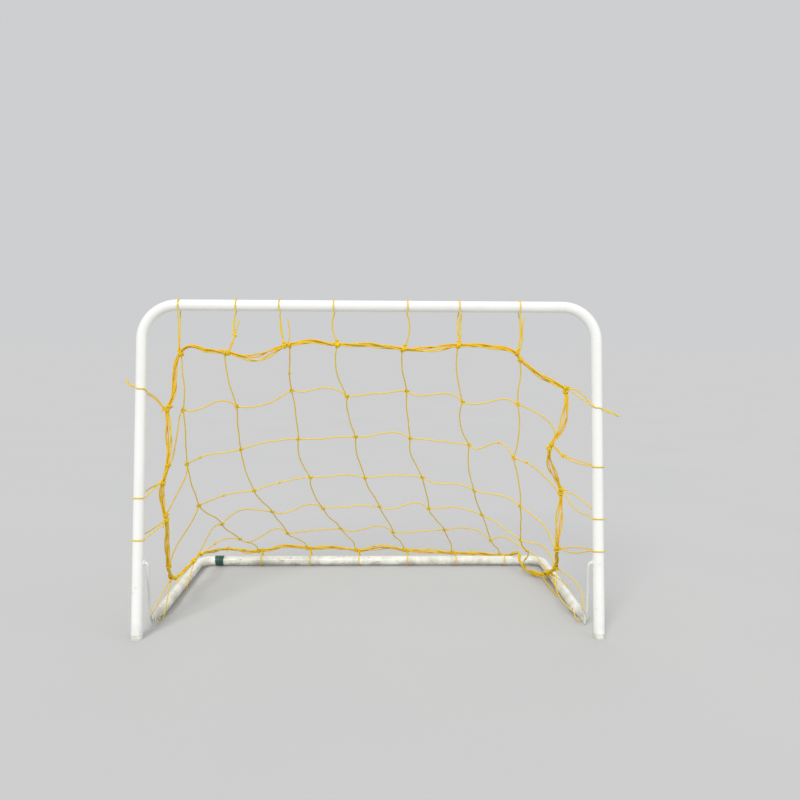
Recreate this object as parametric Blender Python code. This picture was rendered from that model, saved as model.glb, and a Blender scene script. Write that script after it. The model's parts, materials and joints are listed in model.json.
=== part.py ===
"""A small folding soccer goal: a leaning front hoop, a flat ground frame and a knotted net.

Metres, +Z up. The goal mouth faces -Y. The origin is on the ground, in the middle of
the goal's own outline. X runs along the crossbar.
"""

import math

import bmesh
import bpy
from mathutils import Vector

# Front hoop
GOAL_WIDTH = 0.780  # outside of one post to outside of the other
GOAL_HEIGHT = 0.560  # floor to the top of the crossbar, measured along the leaning post
LEAN_DEG = 7.0  # the hoop leans back, so its weight presses the feet down ahead of the pins
TUBE_D = 0.019  # all the bent tube
TUBE_WALL = 0.0012
CORNER_R = 0.058  # centre line of the two upper bends

# Ground frame
GOAL_DEPTH = 0.450  # middle of a foot to the outside of the rear bar
SIDE_INSET = 0.011  # how far each side tube stands in from its post, centre to centre
REAR_BEND_R = 0.030
TAB_T = 0.0032  # flattened front end of a side tube
TAB_LENGTH = 0.040
FLATTEN_LENGTH = 0.022  # from the tab back to the full round tube

# Hinge rods
ROD_D = 0.005
ROD_TOP = 0.124  # height of the upper leg, along the post
ROD_OFFSET = 0.0160  # upper bend in from the middle of the post
ROD_INSIDE = 0.0030  # how far the upper leg reaches past the post's wall
ROD_BEND_R = 0.0065
ROD_PLAY = 0.0016  # between the rod's lower bend and the tab
PIN_Y = 0.062  # hinge pins behind the middle of the feet, and behind the hoop's weight
PIN_BEHIND_TIP = 0.010  # from the tip of the tab to the pin
PIN_HEAD_D = 0.0078
PIN_HEAD_T = 0.0014

# Foot plugs and the sleeve on the rear bar
FOOT_HEAD = 0.0065  # how much of a plug shows below its post, along the post
FOOT_STUB = 0.018
SLEEVE_INSET = 0.040  # middle of the sleeve in from the middle of the left side tube
SLEEVE_WIDTH = 0.018
SLEEVE_WALL = 0.0007

# Net
TWINE = 0.0018  # side of the faceted twine of the ties
NET_TWINE = 0.0020  # and of the net
MESH = 0.100  # one bar of the net, knot to knot
ROWS = 6  # meshes from the top border to the rear border
KNOT = 0.0056
BORDER_CORD_D = 0.0030
BORDER_TWINE = 0.0024  # doubled twine along the edge of the net
BUNCH = 0.0050  # gathered mesh at the rear right corner
KNOT_SHIFT = 0.0080  # an edge knot stands this far past the tie beside it

GAP = 0.0003  # clearance between pieces that touch
HOLE_GAP = 0.0004  # radial clearance of a rod in its hole

SWAY = 0.0022  # how far a bar of the net bows out of line between its knots
NET_SLACK = 0.0209  # meshes and upper ties are this much longer than the straight way
LEAST_DROP = 0.045  # a net with more slack than its ties can take up sags instead

# Each crossbar tie: its place on the bar and the place of its eye, as shares of the way
# from the middle to the post, and how much lower than the mean its eye hangs.
CROSSBAR_TIES = (
    (-0.841, -0.838, 0.0075),
    (-0.591, -0.628, 0.0075),
    (-0.402, -0.381, -0.0045),
    (-0.163, -0.147, -0.0075),
    (0.163, 0.152, -0.0005),
    (0.392, 0.394, -0.0075),
    (0.660, 0.654, 0.0065),
)
# Sag of the border between one crossbar tie and the next, upward positive.
TOP_BOWS = (0.006, -0.006, 0.004, 0.003, 0.002, -0.002)
# Edge of the net beside the left post, counted in meshes: in from the middle of the post,
# back from the middle of the feet, height.
LEFT_EDGE = (
    (0.355, 0.68, 3.71),
    (0.335, 0.68, 2.69),
    (0.315, 0.72, 1.82),
    (0.330, 1.00, 0.88),
)
# Beside the right post, the same way.
RIGHT_EDGE = (
    (0.495, 0.62, 4.12),
    (0.695, 0.68, 3.13),
    (0.445, 1.00, 2.31),
    (0.465, 1.12, 1.24),
    (0.310, 1.90, 0.68),
)
# Over the side tubes, counted in meshes: in from the tube's inner side, forward of the
# middle of the rear bar, height.
LEFT_CORNER = ((0.52, -0.06, 0.42), (0.10, 0.855, 0.48), (0.11, 1.655, 0.56), (0.05, 2.555, 0.50))
RIGHT_CORNER = ((0.06, 1.785, 0.36), (0.10, 1.085, 0.10), (0.34, 0.645, 0.08))
CROSSING_INSET = 0.042  # where the border crosses the rear bar, in from the right side tube
CROSSING_CLEAR = 0.0035
# Heights along the posts of the ties, and how far a slack tie stands out past its post.
TIE_SLACK = 0.0175
LEFT_POST_TIES = ((0.410, TIE_SLACK), (0.230, 0.0), (0.161, 0.0))
RIGHT_POST_TIES = ((0.381, TIE_SLACK), (0.282, 0.0), (0.196, 0.0), (0.1425, 0.0))
# Rear border: first and last eye as shares of the way from the middle to the post, how far
# the eyes stand behind and above the bar, how much the border rises between them.
REAR_FIRST = -0.631
REAR_LAST = 0.756
REAR_TIES = 6
REAR_BEHIND = 0.0170
REAR_ABOVE = 0.0160
REAR_BOWS = (0.007, 0.004)
# Ties on the side tubes: place along the tube.
LEFT_SIDE_TIE_Y = 0.092
LEFT_MID_TIE_Y = 0.260
RIGHT_SIDE_TIE_Y = 0.078
RIGHT_MID_TIE_Y = 0.235
# How each column of the net hangs: how far it sags below the straight way, and how late it
# drifts sideways on its way down.
COLUMN_HANGS = (
    (0.092, 3.40),
    (0.049, 2.80),
    (0.033, 2.40),
    (0.036, 1.65),
    (0.029, 1.95),
    (0.062, 1.75),
    (0.073, 1.70),
)
# How far each bar of the net's rows rises on leaving its left knot and on reaching its right
# one. The first bar of a row is the one at the left edge of the net.
ROW_LIFTS = (
    (
        (0, 0.008), (0.009, 0.031), (-0.015, -0.015), (0.009, 0.031),
        (0, 0), (0.007, 0.023), (0.011, 0.011), (0.015, 0.015),
    ),
    (
        (0, 0), (0.019, 0.006), (0.010, 0.010), (0.003, 0.003),
        (0.008, 0.027), (0, 0), (0.012, 0.032), (0.019, 0.019),
    ),
    (
        (0, 0), (0.008, 0.008), (0.010, 0.010), (0.005, 0.018),
        (0.004, 0.004), (0.004, 0.014), (0.006, 0.022), (0.012, -0.002),
    ),
    (
        (0.010, 0.020), (0.033, 0.010), (-0.020, 0.029), (0.003, 0.003),
        (-0.021, 0.031), (0.012, 0.012), (0, 0), (0, 0),
    ),
    (
        (0.014, 0.014), (-0.033, 0.037), (0, 0), (-0.021, 0.033),
        (-0.003, -0.003), (0.009, 0.029), (0.026, 0.026), (0, 0),
    ),
)
OUTWARD_BOW = 0.025  # the last bar of the first row also swings out towards the right post
CORNER_EYE = 0.42  # how far past the first corner of the border the first tie holds it

TUBE_SIDES = 20
BEND_STEPS = 8
ROD_SIDES = 10

# Derived sizes
TUBE_R = TUBE_D / 2
ROD_R = ROD_D / 2
LEAN = math.radians(LEAN_DEG)
POST_X = GOAL_WIDTH / 2 - TUBE_R
SIDE_X = POST_X - SIDE_INSET
BAR_S = GOAL_HEIGHT - TUBE_R
WRAP_MID = TUBE_R + GAP + TWINE / 2
GROUND_Z = WRAP_MID + TWINE / 2  # the ties under the tubes carry the frame off the floor
REAR_Y = GOAL_DEPTH - TUBE_R
TAB_Y = PIN_Y - PIN_BEHIND_TIP
CORD_R = BORDER_CORD_D / 2
EDGE_STEP = CORD_R + BORDER_TWINE * 0.71 + 2 * GAP  # border cord to the net's own edge
KNOT_STEP = CORD_R + KNOT / 2 + 3 * GAP  # border cord to the knots of that edge
BUNCH_STEP = CORD_R + BUNCH * 0.71 + 2 * GAP
ROD_BOTTOM_X = SIDE_X + TAB_T / 2 + ROD_PLAY + ROD_R
CUT_PAST = TUBE_R * 0.4  # how far a cutter reaches past the wall it cuts


def on_hoop(x, s):
    """A point of the hoop's own plane, s along the post from the floor."""
    return Vector((x, s * math.sin(LEAN), s * math.cos(LEAN)))


HOOP_UP = Vector((0, math.sin(LEAN), math.cos(LEAN)))
HOOP_BACK = Vector((0, math.cos(LEAN), -math.sin(LEAN)))
BAR = on_hoop(0, BAR_S)
REAR_EDGE = Vector((0, REAR_Y + REAR_BEHIND, GROUND_Z + REAR_ABOVE))
TIE_DROP = max((REAR_EDGE - BAR).length + NET_SLACK - ROWS * MESH, LEAST_DROP)
REAR_PITCH = (REAR_LAST - REAR_FIRST) * POST_X / (REAR_TIES - 1)


def paint(name, colour, roughness, metallic=0.0):
    material = bpy.data.materials.new(name)
    material.use_nodes = True
    shader = material.node_tree.nodes["Principled BSDF"]
    shader.inputs["Base Color"].default_value = (*colour, 1)
    shader.inputs["Roughness"].default_value = roughness
    shader.inputs["Metallic"].default_value = metallic
    return material


def add_node(name, bm, material, smooth=True):
    """One closed solid as its own object, with its faces outward."""
    bmesh.ops.recalc_face_normals(bm, faces=bm.faces)
    mesh = bpy.data.meshes.new(name)
    bm.to_mesh(mesh)
    bm.free()
    mesh.materials.append(material)
    for face in mesh.polygons:
        face.use_smooth = smooth
    thing = bpy.data.objects.new(name, mesh)
    bpy.context.scene.collection.objects.link(thing)
    return thing


def rounded_path(corners, radius, steps):
    """An open line through the corners, with each inner corner turned to an arc."""
    points = [corners[0].copy()]
    for i in range(1, len(corners) - 1):
        corner = corners[i]
        back = (corners[i - 1] - corner).normalized()
        ahead = (corners[i + 1] - corner).normalized()
        half = back.angle(ahead) / 2
        reach = radius / math.tan(half)
        middle = corner + (back + ahead).normalized() * (radius / math.sin(half))
        start = corner + back * reach - middle
        end = corner + ahead * reach - middle
        turn = start.angle(end)
        for k in range(steps + 1):
            t = k / steps
            spoke = (start * math.sin((1 - t) * turn) + end * math.sin(t * turn)) / math.sin(turn)
            points.append(middle + spoke)
    points.append(corners[-1].copy())
    return points


def tangents(points, closed=False):
    out = []
    n = len(points)
    for i in range(n):
        before = points[i - 1] if closed or i > 0 else points[0]
        after = points[(i + 1) % n] if closed or i < n - 1 else points[-1]
        here = points[i]
        a = (here - before).normalized() if (here - before).length > 0 else Vector()
        b = (after - here).normalized() if (after - here).length > 0 else Vector()
        out.append((a + b).normalized())
    return out


def bridge(bm, first, second):
    n = len(first)
    for k in range(n):
        j = (k + 1) % n
        bm.faces.new((first[k], first[j], second[j], second[k]))


def round_rings(bm, points, radii, sides, side_dir):
    """Rings of verts round a path. side_dir gives the first vert of the first ring."""
    rings = []
    across = side_dir
    for point, along, radius in zip(points, tangents(points), radii):
        across = (across - along * across.dot(along)).normalized()
        other = along.cross(across)
        ring = []
        for k in range(sides):
            turn = 2 * math.pi * (k + 0.5) / sides
            spoke = across * math.cos(turn) + other * math.sin(turn)
            ring.append(bm.verts.new(point + spoke * radius))
        rings.append(ring)
    return rings


def cut(thing, cutter):
    """Takes the cutter's shape out of the thing and keeps the result."""
    cutter.hide_render = True
    cutter.display_type = "WIRE"
    step = thing.modifiers.new("hole", "BOOLEAN")
    step.operation = "DIFFERENCE"
    step.solver = "EXACT"
    step.object = cutter


def pin_cutter(name, start, end, radius):
    bm = bmesh.new()
    rings = round_rings(bm, [start, end], [radius, radius], 16, Vector((0, 0, 1)))
    bridge(bm, rings[0], rings[1])
    bm.faces.new(rings[0])
    bm.faces.new(rings[1])
    return add_node(name, bm, white, smooth=False)


def tube(name, points, side_dir, material):
    """A bent tube, open at both ends."""
    bm = bmesh.new()
    outer = round_rings(bm, points, [TUBE_R] * len(points), TUBE_SIDES, side_dir)
    bore = TUBE_R - TUBE_WALL
    inner = round_rings(bm, points, [bore] * len(points), TUBE_SIDES, side_dir)
    for shell in (outer, inner):
        for first, second in zip(shell, shell[1:]):
            bridge(bm, first, second)
    bridge(bm, outer[0], inner[0])
    bridge(bm, outer[-1], inner[-1])
    return add_node(name, bm, material)


def make_hoop():
    foot = FOOT_HEAD + GAP
    corners = [
        on_hoop(-POST_X, foot),
        on_hoop(-POST_X, BAR_S),
        on_hoop(POST_X, BAR_S),
        on_hoop(POST_X, foot),
    ]
    hoop = tube("goal_hoop", rounded_path(corners, CORNER_R, BEND_STEPS), HOOP_BACK, white)
    for side, word in ((-1, "left"), (1, "right")):
        inside = on_hoop(side * (POST_X - TUBE_R - CUT_PAST), ROD_TOP)
        bore = on_hoop(side * POST_X, ROD_TOP)
        cut(hoop, pin_cutter("cut_%s_post_hole" % word, inside, bore, ROD_R + HOLE_GAP))
    return hoop


def make_ground_frame():
    """One tube bent to a U, its two front ends pressed flat for the hinge pins."""
    corners = [
        Vector((-SIDE_X, TAB_Y, GROUND_Z)),
        Vector((-SIDE_X, REAR_Y, GROUND_Z)),
        Vector((SIDE_X, REAR_Y, GROUND_Z)),
        Vector((SIDE_X, TAB_Y, GROUND_Z)),
    ]
    bends = rounded_path(corners, REAR_BEND_R, BEND_STEPS)[1:-1]
    # Distance behind the tip, half thickness and half height of the pressed end.
    flat = TAB_T / 2
    ends = (
        (0.0, flat, TUBE_R * 0.52),
        (0.0022, flat, TUBE_R * 0.80),
        (0.0055, flat, TUBE_R * 0.96),
        (0.0100, flat, TUBE_R),
        (TAB_LENGTH, flat, TUBE_R),
        (TAB_LENGTH + FLATTEN_LENGTH * 0.35, flat + (TUBE_R - flat) * 0.30, TUBE_R),
        (TAB_LENGTH + FLATTEN_LENGTH * 0.70, flat + (TUBE_R - flat) * 0.82, TUBE_R),
        (TAB_LENGTH + FLATTEN_LENGTH, TUBE_R, TUBE_R),
    )
    stations = []
    for back, half_t, half_h in ends:
        stations.append((Vector((-SIDE_X, TAB_Y + back, GROUND_Z)), half_t, half_h))
    for point in bends:
        stations.append((point, TUBE_R, TUBE_R))
    for back, half_t, half_h in reversed(ends):
        stations.append((Vector((SIDE_X, TAB_Y + back, GROUND_Z)), half_t, half_h))
    along = tangents([s[0] for s in stations])
    bm = bmesh.new()
    shells = []
    for wall in (0.0, TUBE_WALL):
        rings = []
        for (point, half_t, half_h), ahead in zip(stations, along):
            out = Vector((ahead.y, -ahead.x, 0))
            ring = []
            for k in range(TUBE_SIDES):
                turn = 2 * math.pi * (k + 0.5) / TUBE_SIDES
                # A pressed end keeps its wall as far as the press lets it.
                t = max(half_t - wall, half_t * 0.30) if wall else half_t
                h = half_h - wall
                spot = point + out * (t * math.cos(turn)) + Vector((0, 0, h * math.sin(turn)))
                ring.append(bm.verts.new(spot))
            rings.append(ring)
        for first, second in zip(rings, rings[1:]):
            bridge(bm, first, second)
        shells.append(rings)
    bridge(bm, shells[0][0], shells[1][0])
    bridge(bm, shells[0][-1], shells[1][-1])
    frame = add_node("ground_frame", bm, white)
    for side, word in ((-1, "left"), (1, "right")):
        inside = Vector((side * (SIDE_X - TAB_T - CUT_PAST), PIN_Y, GROUND_Z))
        outside = Vector((side * (SIDE_X + TAB_T + CUT_PAST), PIN_Y, GROUND_Z))
        cut(frame, pin_cutter("cut_%s_pin_hole" % word, inside, outside, ROD_R + HOLE_GAP))
    return frame


def make_rod(word, side):
    """Z-shaped rod: fixed in the post above, its lower leg is the hinge pin."""
    top = on_hoop(side * (POST_X - TUBE_R + TUBE_WALL + ROD_INSIDE), ROD_TOP)
    knee = on_hoop(side * (POST_X - ROD_OFFSET), ROD_TOP)
    heel = Vector((side * ROD_BOTTOM_X, PIN_Y, GROUND_Z))
    head = SIDE_X - TAB_T / 2 - GAP - HOLE_GAP
    tip = Vector((side * (head - PIN_HEAD_T), PIN_Y, GROUND_Z))
    # The tight lower bend leaves the straight pin as long as the tab is thick.
    line = rounded_path([top, knee, heel], ROD_BEND_R, 5)[:-1]
    last = heel - line[-1]
    line.append(heel - last.normalized() * ROD_R * 1.3)
    line.append(heel + Vector((-side * ROD_R * 0.55, 0, 0)) - last.normalized() * ROD_R * 0.35)
    line.append(heel + Vector((-side * (ROD_R + GAP), 0, 0)))
    line.append(Vector((side * head, PIN_Y, GROUND_Z)))
    radii = [ROD_R] * len(line)
    bm = bmesh.new()
    rings = round_rings(bm, line, radii, ROD_SIDES, HOOP_UP)
    head_line = [Vector((side * head, PIN_Y, GROUND_Z)), tip]
    rings += round_rings(bm, head_line, [PIN_HEAD_D / 2] * 2, ROD_SIDES, Vector((0, 0, 1)))
    # The head's rings start at the same side of the pin as the last ring of the rod.
    last_ring = rings[len(line) - 1]
    for ring in rings[len(line):]:
        nearest = min(range(ROD_SIDES), key=lambda k: (ring[k].co - last_ring[0].co).length)
        turned = ring[nearest:] + ring[:nearest]
        ring[:] = turned
    for first, second in zip(rings, rings[1:]):
        bridge(bm, first, second)
    bm.faces.new(rings[0])
    bm.faces.new(rings[-1])
    return add_node("%s_hinge_rod" % word, bm, rod_paint)


def make_foot(word, side):
    """Plug in the end of a post, its sole cut level so that the leaning post stands flat."""
    stub_r = TUBE_R - TUBE_WALL - GAP
    profile = (
        (-0.006, TUBE_R * 0.92),
        (FOOT_HEAD - 0.0012, TUBE_R * 0.985),
        (FOOT_HEAD, TUBE_R * 0.95),
        (FOOT_HEAD, stub_r),
        (FOOT_HEAD + FOOT_STUB - 0.0015, stub_r - 0.0003),
        (FOOT_HEAD + FOOT_STUB, stub_r - 0.0018),
    )
    points = [on_hoop(side * POST_X, s) for s, _ in profile]
    bm = bmesh.new()
    rings = []
    for point, (_, radius) in zip(points, profile):
        ring = []
        for k in range(TUBE_SIDES):
            turn = 2 * math.pi * (k + 0.5) / TUBE_SIDES
            spoke = HOOP_BACK * math.cos(turn) + Vector((1, 0, 0)) * math.sin(turn)
            ring.append(bm.verts.new(point + spoke * radius))
        rings.append(ring)
    for first, second in zip(rings, rings[1:]):
        bridge(bm, first, second)
    bm.faces.new(rings[0])
    bm.faces.new(rings[-1])
    parts = bm.verts[:] + bm.edges[:] + bm.faces[:]
    level = bmesh.ops.bisect_plane(
        bm, geom=parts, plane_co=(0, 0, 0), plane_no=(0, 0, -1), clear_outer=True
    )
    rim = [e for e in level["geom_cut"] if isinstance(e, bmesh.types.BMEdge)]
    bmesh.ops.contextual_create(bm, geom=rim)
    return add_node("%s_foot_plug" % word, bm, plug_plastic)


def make_sleeve():
    """Short dark sleeve on the rear bar."""
    inner = TUBE_R + GAP
    outer = inner + SLEEVE_WALL
    half = SLEEVE_WIDTH / 2
    chamfer = SLEEVE_WALL * 0.4
    loop = (
        (-half, inner),
        (-half, outer - chamfer),
        (-half + chamfer, outer),
        (half - chamfer, outer),
        (half, outer - chamfer),
        (half, inner),
    )
    bm = bmesh.new()
    rings = []
    for x, radius in loop:
        ring = []
        for k in range(TUBE_SIDES):
            turn = 2 * math.pi * (k + 0.5) / TUBE_SIDES
            y = REAR_Y + radius * math.cos(turn)
            z = GROUND_Z + radius * math.sin(turn)
            ring.append(bm.verts.new((SLEEVE_INSET - SIDE_X + x, y, z)))
        rings.append(ring)
    for first, second in zip(rings, rings[1:] + rings[:1]):
        bridge(bm, first, second)
    return add_node("rear_bar_sleeve", bm, sleeve_plastic)


# The border of the net

def spline(controls, t):
    """A closed smooth line through the controls, one unit of t for each of them."""
    n = len(controls)
    i = math.floor(t)
    f = t - i
    a, b, c, d = (controls[(i + k) % n] for k in (-1, 0, 1, 2))
    m0 = (c - a) * 0.5
    m1 = (d - b) * 0.5
    f2 = f * f
    f3 = f2 * f
    return b * (2 * f3 - 3 * f2 + 1) + m0 * (f3 - 2 * f2 + f) + c * (3 * f2 - 2 * f3) + m1 * (f3 - f2)


def border_stations():
    """Names, places and inward directions round the edge of the net, in order."""
    stations = []
    down = Vector((0, 0.30, -1)).normalized()
    for i, (_, share, lower) in enumerate(CROSSBAR_TIES):
        x = share * POST_X
        drop = TIE_DROP + lower
        stations.append(("T%d" % i, Vector((x, BAR.y, BAR.z - drop)), down))
        if i < len(TOP_BOWS):
            after_x = CROSSBAR_TIES[i + 1][1] * POST_X
            after_drop = TIE_DROP + CROSSBAR_TIES[i + 1][2]
            height = BAR.z - (drop + after_drop) / 2 + TOP_BOWS[i]
            stations.append(("", Vector(((x + after_x) / 2, BAR.y, height)), down))
    right_in = Vector((-1, 0.25, 0)).normalized()
    for i, (inset, back, height) in enumerate(RIGHT_EDGE):
        place = Vector((POST_X - inset * MESH, back * MESH, height * MESH))
        stations.append(("R%d" % (i + 1), place, right_in))
    inner = SIDE_X - TUBE_R
    corner_in = (Vector((-1, 0, 0.6)), Vector((-0.85, -0.2, 0.5)), Vector((-0.6, -0.5, 0.6)))
    for name, (inset, front, height), way in zip("QCD", RIGHT_CORNER, corner_in):
        place = Vector((inner - inset * MESH, REAR_Y - front * MESH, height * MESH))
        stations.append((name, place, way.normalized()))
    cross_x = inner - CROSSING_INSET
    front = REAR_Y - TUBE_R - CORD_R - CROSSING_CLEAR * 3
    over = GROUND_Z + TUBE_R + CORD_R + CROSSING_CLEAR
    before_bar = Vector((cross_x, front, (GROUND_Z + over) / 2))
    stations.append(("", before_bar, Vector((-0.4, -0.7, 0.5)).normalized()))
    stations.append(("", Vector((cross_x, REAR_Y, over)), Vector((-0.2, -0.4, 0.9)).normalized()))
    up = Vector((0, -0.35, 1)).normalized()
    for i in reversed(range(REAR_TIES)):
        place = REAR_EDGE + Vector((REAR_FIRST * POST_X + i * REAR_PITCH, 0, 0))
        stations.append(("B%d" % i, place, up))
        if i:
            stations.append(("", place + Vector((-REAR_PITCH / 2, -GAP, REAR_BOWS[i % 2])), up))
    left_in = Vector((0.9, 0, 0.45)).normalized()
    for name, (inset, front, height) in zip(("A", "M3", "M2", "M1"), LEFT_CORNER):
        place = Vector((inset * MESH - inner, REAR_Y - front * MESH, height * MESH))
        stations.append((name, place, up if name == "A" else left_in))
    post_in = Vector((1, 0.25, 0)).normalized()
    for i, (inset, back, height) in reversed(list(enumerate(LEFT_EDGE))):
        place = Vector((inset * MESH - POST_X, back * MESH, height * MESH))
        stations.append(("L%d" % (i + 1), place, post_in))
    return stations


STATIONS = border_stations()
PLACES = [s[1] for s in STATIONS]
INWARD = [s[2] for s in STATIONS]
INDEX = {s[0]: i for i, s in enumerate(STATIONS) if s[0]}


def border_samples():
    """Places along the border that the cord and the net's edge both pass."""
    out = []
    for i in range(len(PLACES)):
        span = (PLACES[(i + 1) % len(PLACES)] - PLACES[i]).length
        steps = 3 if span > 0.04 else 2
        for k in range(steps):
            out.append(i + k / steps)
    return out


SAMPLES = border_samples()


def cord_at(t):
    """The border cord: short straight runs between samples of the smooth line."""
    t = t % len(PLACES)
    start = max(u for u in SAMPLES if u <= t)
    end = min([u for u in SAMPLES if u > t] + [len(PLACES)])
    return spline(PLACES, start).lerp(spline(PLACES, end), (t - start) / (end - start))


def cord_ahead(t):
    return (spline(PLACES, t + 0.02) - spline(PLACES, t - 0.02)).normalized()


def inward_at(t):
    """The direction from the border into the net, square to the border."""
    i = int(math.floor(t)) % len(INWARD)
    u = t - math.floor(t)
    way = INWARD[i].lerp(INWARD[(i + 1) % len(INWARD)], u)
    ahead = cord_ahead(t)
    return (way - ahead * way.dot(ahead)).normalized()


def edge_at(t, step=EDGE_STEP):
    """The net's own edge, which runs beside the border cord."""
    return cord_at(t) + inward_at(t) * step


def t_past(t, distance):
    """Where the border has gone a distance past t."""
    pace = (cord_at(t + 0.1) - cord_at(t)).length / 0.1
    return t + distance / pace


def make_border_cord():
    sides = 5
    points = [cord_at(t) for t in SAMPLES]
    bm = bmesh.new()
    rings = []
    ways = tangents(points, closed=True)
    count = len(points)
    across = inward_at(0)
    crossings = []
    for ahead in ways:
        across = (across - ahead * across.dot(ahead)).normalized()
        crossings.append(across.copy())
    # What the closed line gains in twist is spread over all of its length.
    first = crossings[0]
    last = (across - ways[0] * across.dot(ways[0])).normalized()
    twist = math.atan2(first.cross(last).dot(ways[0]), first.dot(last))
    for i in range(count):
        ahead = ways[i]
        a = crossings[i]
        b = ahead.cross(a)
        ring = []
        for k in range(sides):
            turn = 2 * math.pi * k / sides - twist * i / count
            ring.append(bm.verts.new(points[i] + (a * math.cos(turn) + b * math.sin(turn)) * CORD_R))
        rings.append(ring)
    for i in range(count):
        bridge(bm, rings[i], rings[(i + 1) % count])
    return add_node("border_cord", bm, cord_yellow)


# The knotted net

class Knot:
    """A knot of the net: a small block with six places where twine can leave."""

    def __init__(self, bm, place, u, v, size=KNOT):
        self.place = place
        self.size = size
        u = u.normalized()
        v = (v - u * v.dot(u)).normalized()
        self.axes = (u, v, u.cross(v))
        self.used = set()
        self.verts = {}
        a = NET_TWINE / 2
        b = size / 2
        for spot in range(3):
            for signs in range(8):
                s = [1 if signs >> k & 1 else -1 for k in range(3)]
                reach = [s[k] * (b if k == spot else a) for k in range(3)]
                offset = self.axes[0] * reach[0] + self.axes[1] * reach[1] + self.axes[2] * reach[2]
                self.verts[(spot, tuple(s))] = bm.verts.new(place + offset)

    def face_dir(self, face):
        axis, sign = face
        return self.axes[axis] * sign

    def best_face(self, way):
        """The free face that looks most along way."""
        faces = [(axis, sign) for axis in range(3) for sign in (-1, 1)]
        free = [f for f in faces if f not in self.used]
        best = max(free, key=lambda f: self.face_dir(f).dot(way))
        self.used.add(best)
        return best

    def ring(self, face):
        """The face's four verts in order round its outward direction."""
        axis, sign = face
        j, k = (axis + 1) % 3, (axis + 2) % 3
        ring = []
        for sj, sk in ((1, 1), (-1, 1), (-1, -1), (1, -1)):
            s = [0, 0, 0]
            s[axis] = sign
            s[j] = sj
            s[k] = sk
            ring.append(self.verts[(axis, tuple(s))])
        return ring if sign > 0 else ring[::-1]

    def finish(self, bm):
        for axis in range(3):
            for sign in (-1, 1):
                if (axis, sign) not in self.used:
                    bm.faces.new(self.ring((axis, sign)))
        for axis in range(3):
            j, k = (axis + 1) % 3, (axis + 2) % 3
            for sj in (-1, 1):
                for sk in (-1, 1):
                    quad = []
                    for spot, end in ((j, -1), (j, 1), (k, 1), (k, -1)):
                        s = [0, 0, 0]
                        s[axis], s[j], s[k] = end, sj, sk
                        quad.append(self.verts[(spot, tuple(s))])
                    bm.faces.new(quad)
        for signs in range(8):
            s = tuple(1 if signs >> k & 1 else -1 for k in range(3))
            bm.faces.new([self.verts[(spot, s)] for spot in range(3)])


def twine_between(bm, knot_a, knot_b, middles=None, side=NET_TWINE, steps=3, bows=(Vector(), Vector())):
    """One bar of the net, from a face of one knot to a face of the other."""
    if middles:
        way_a = (middles[0] - knot_a.place).normalized()
        way_b = (middles[-1] - knot_b.place).normalized()
    else:
        way_a = (knot_b.place - knot_a.place).normalized()
        way_b = -way_a
    face_a = knot_a.best_face(way_a)
    face_b = knot_b.best_face(way_b)
    out_a = knot_a.face_dir(face_a)
    out_b = knot_b.face_dir(face_b)
    start = knot_a.place + out_a * (knot_a.size / 2)
    end = knot_b.place + out_b * (knot_b.size / 2)
    if middles:
        line = [start] + middles + [end]
    else:
        reach = (end - start).length * 0.34
        p1 = start + out_a * reach + bows[0]
        p2 = end + out_b * reach + bows[1]
        line = []
        for k in range(steps + 1):
            f = k / steps
            g = 1 - f
            line.append(start * g**3 + p1 * (3 * g * g * f) + p2 * (3 * g * f * f) + end * f**3)
    ways = tangents(line)
    ring = knot_a.ring(face_a)
    centre = knot_a.place + out_a * (knot_a.size / 2)
    across = ((ring[0].co + ring[3].co) / 2 - centre).normalized()
    for i in range(1, len(line) - 1):
        ahead = ways[i]
        across = (across - ahead * across.dot(ahead)).normalized()
        other = ahead.cross(across)
        h = side / 2
        corners = ((h, h), (-h, h), (-h, -h), (h, -h))
        new = [bm.verts.new(line[i] + across * x + other * y) for x, y in corners]
        bridge(bm, ring, new)
        ring = new
    # The far knot's face is seen from behind, so its verts run the other way round.
    target = knot_b.ring(face_b)[::-1]
    turns = []
    for shift in range(4):
        rolled = target[shift:] + target[:shift]
        turns.append((sum((a.co - b.co).length for a, b in zip(ring, rolled)), shift))
    shift = min(turns)[1]
    bridge(bm, ring, target[shift:] + target[:shift])


def column_knots(top, bottom, sag, lateness):
    """A column hangs between two knots, with the knots of its rows evenly along it."""
    chord = bottom - top
    slope = Vector((0, chord.y, chord.z)).normalized()
    drop_way = Vector((0, slope.z, -slope.y))
    if drop_way.z > 0:
        drop_way = -drop_way

    def at(u):
        x = top.x + chord.x * u**lateness
        flat = Vector((x, top.y + chord.y * u, top.z + chord.z * u))
        return flat + drop_way * (4 * sag * u * (1 - u))

    samples = [at(k / 60) for k in range(61)]
    run = [0.0]
    for a, b in zip(samples, samples[1:]):
        run.append(run[-1] + (b - a).length)
    knots = []
    for row in range(1, ROWS):
        goal = run[-1] * row / ROWS
        k = max(i for i in range(60) if run[i] <= goal)
        f = (goal - run[k]) / (run[k + 1] - run[k])
        knots.append(samples[k].lerp(samples[k + 1], f))
    return knots


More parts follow.
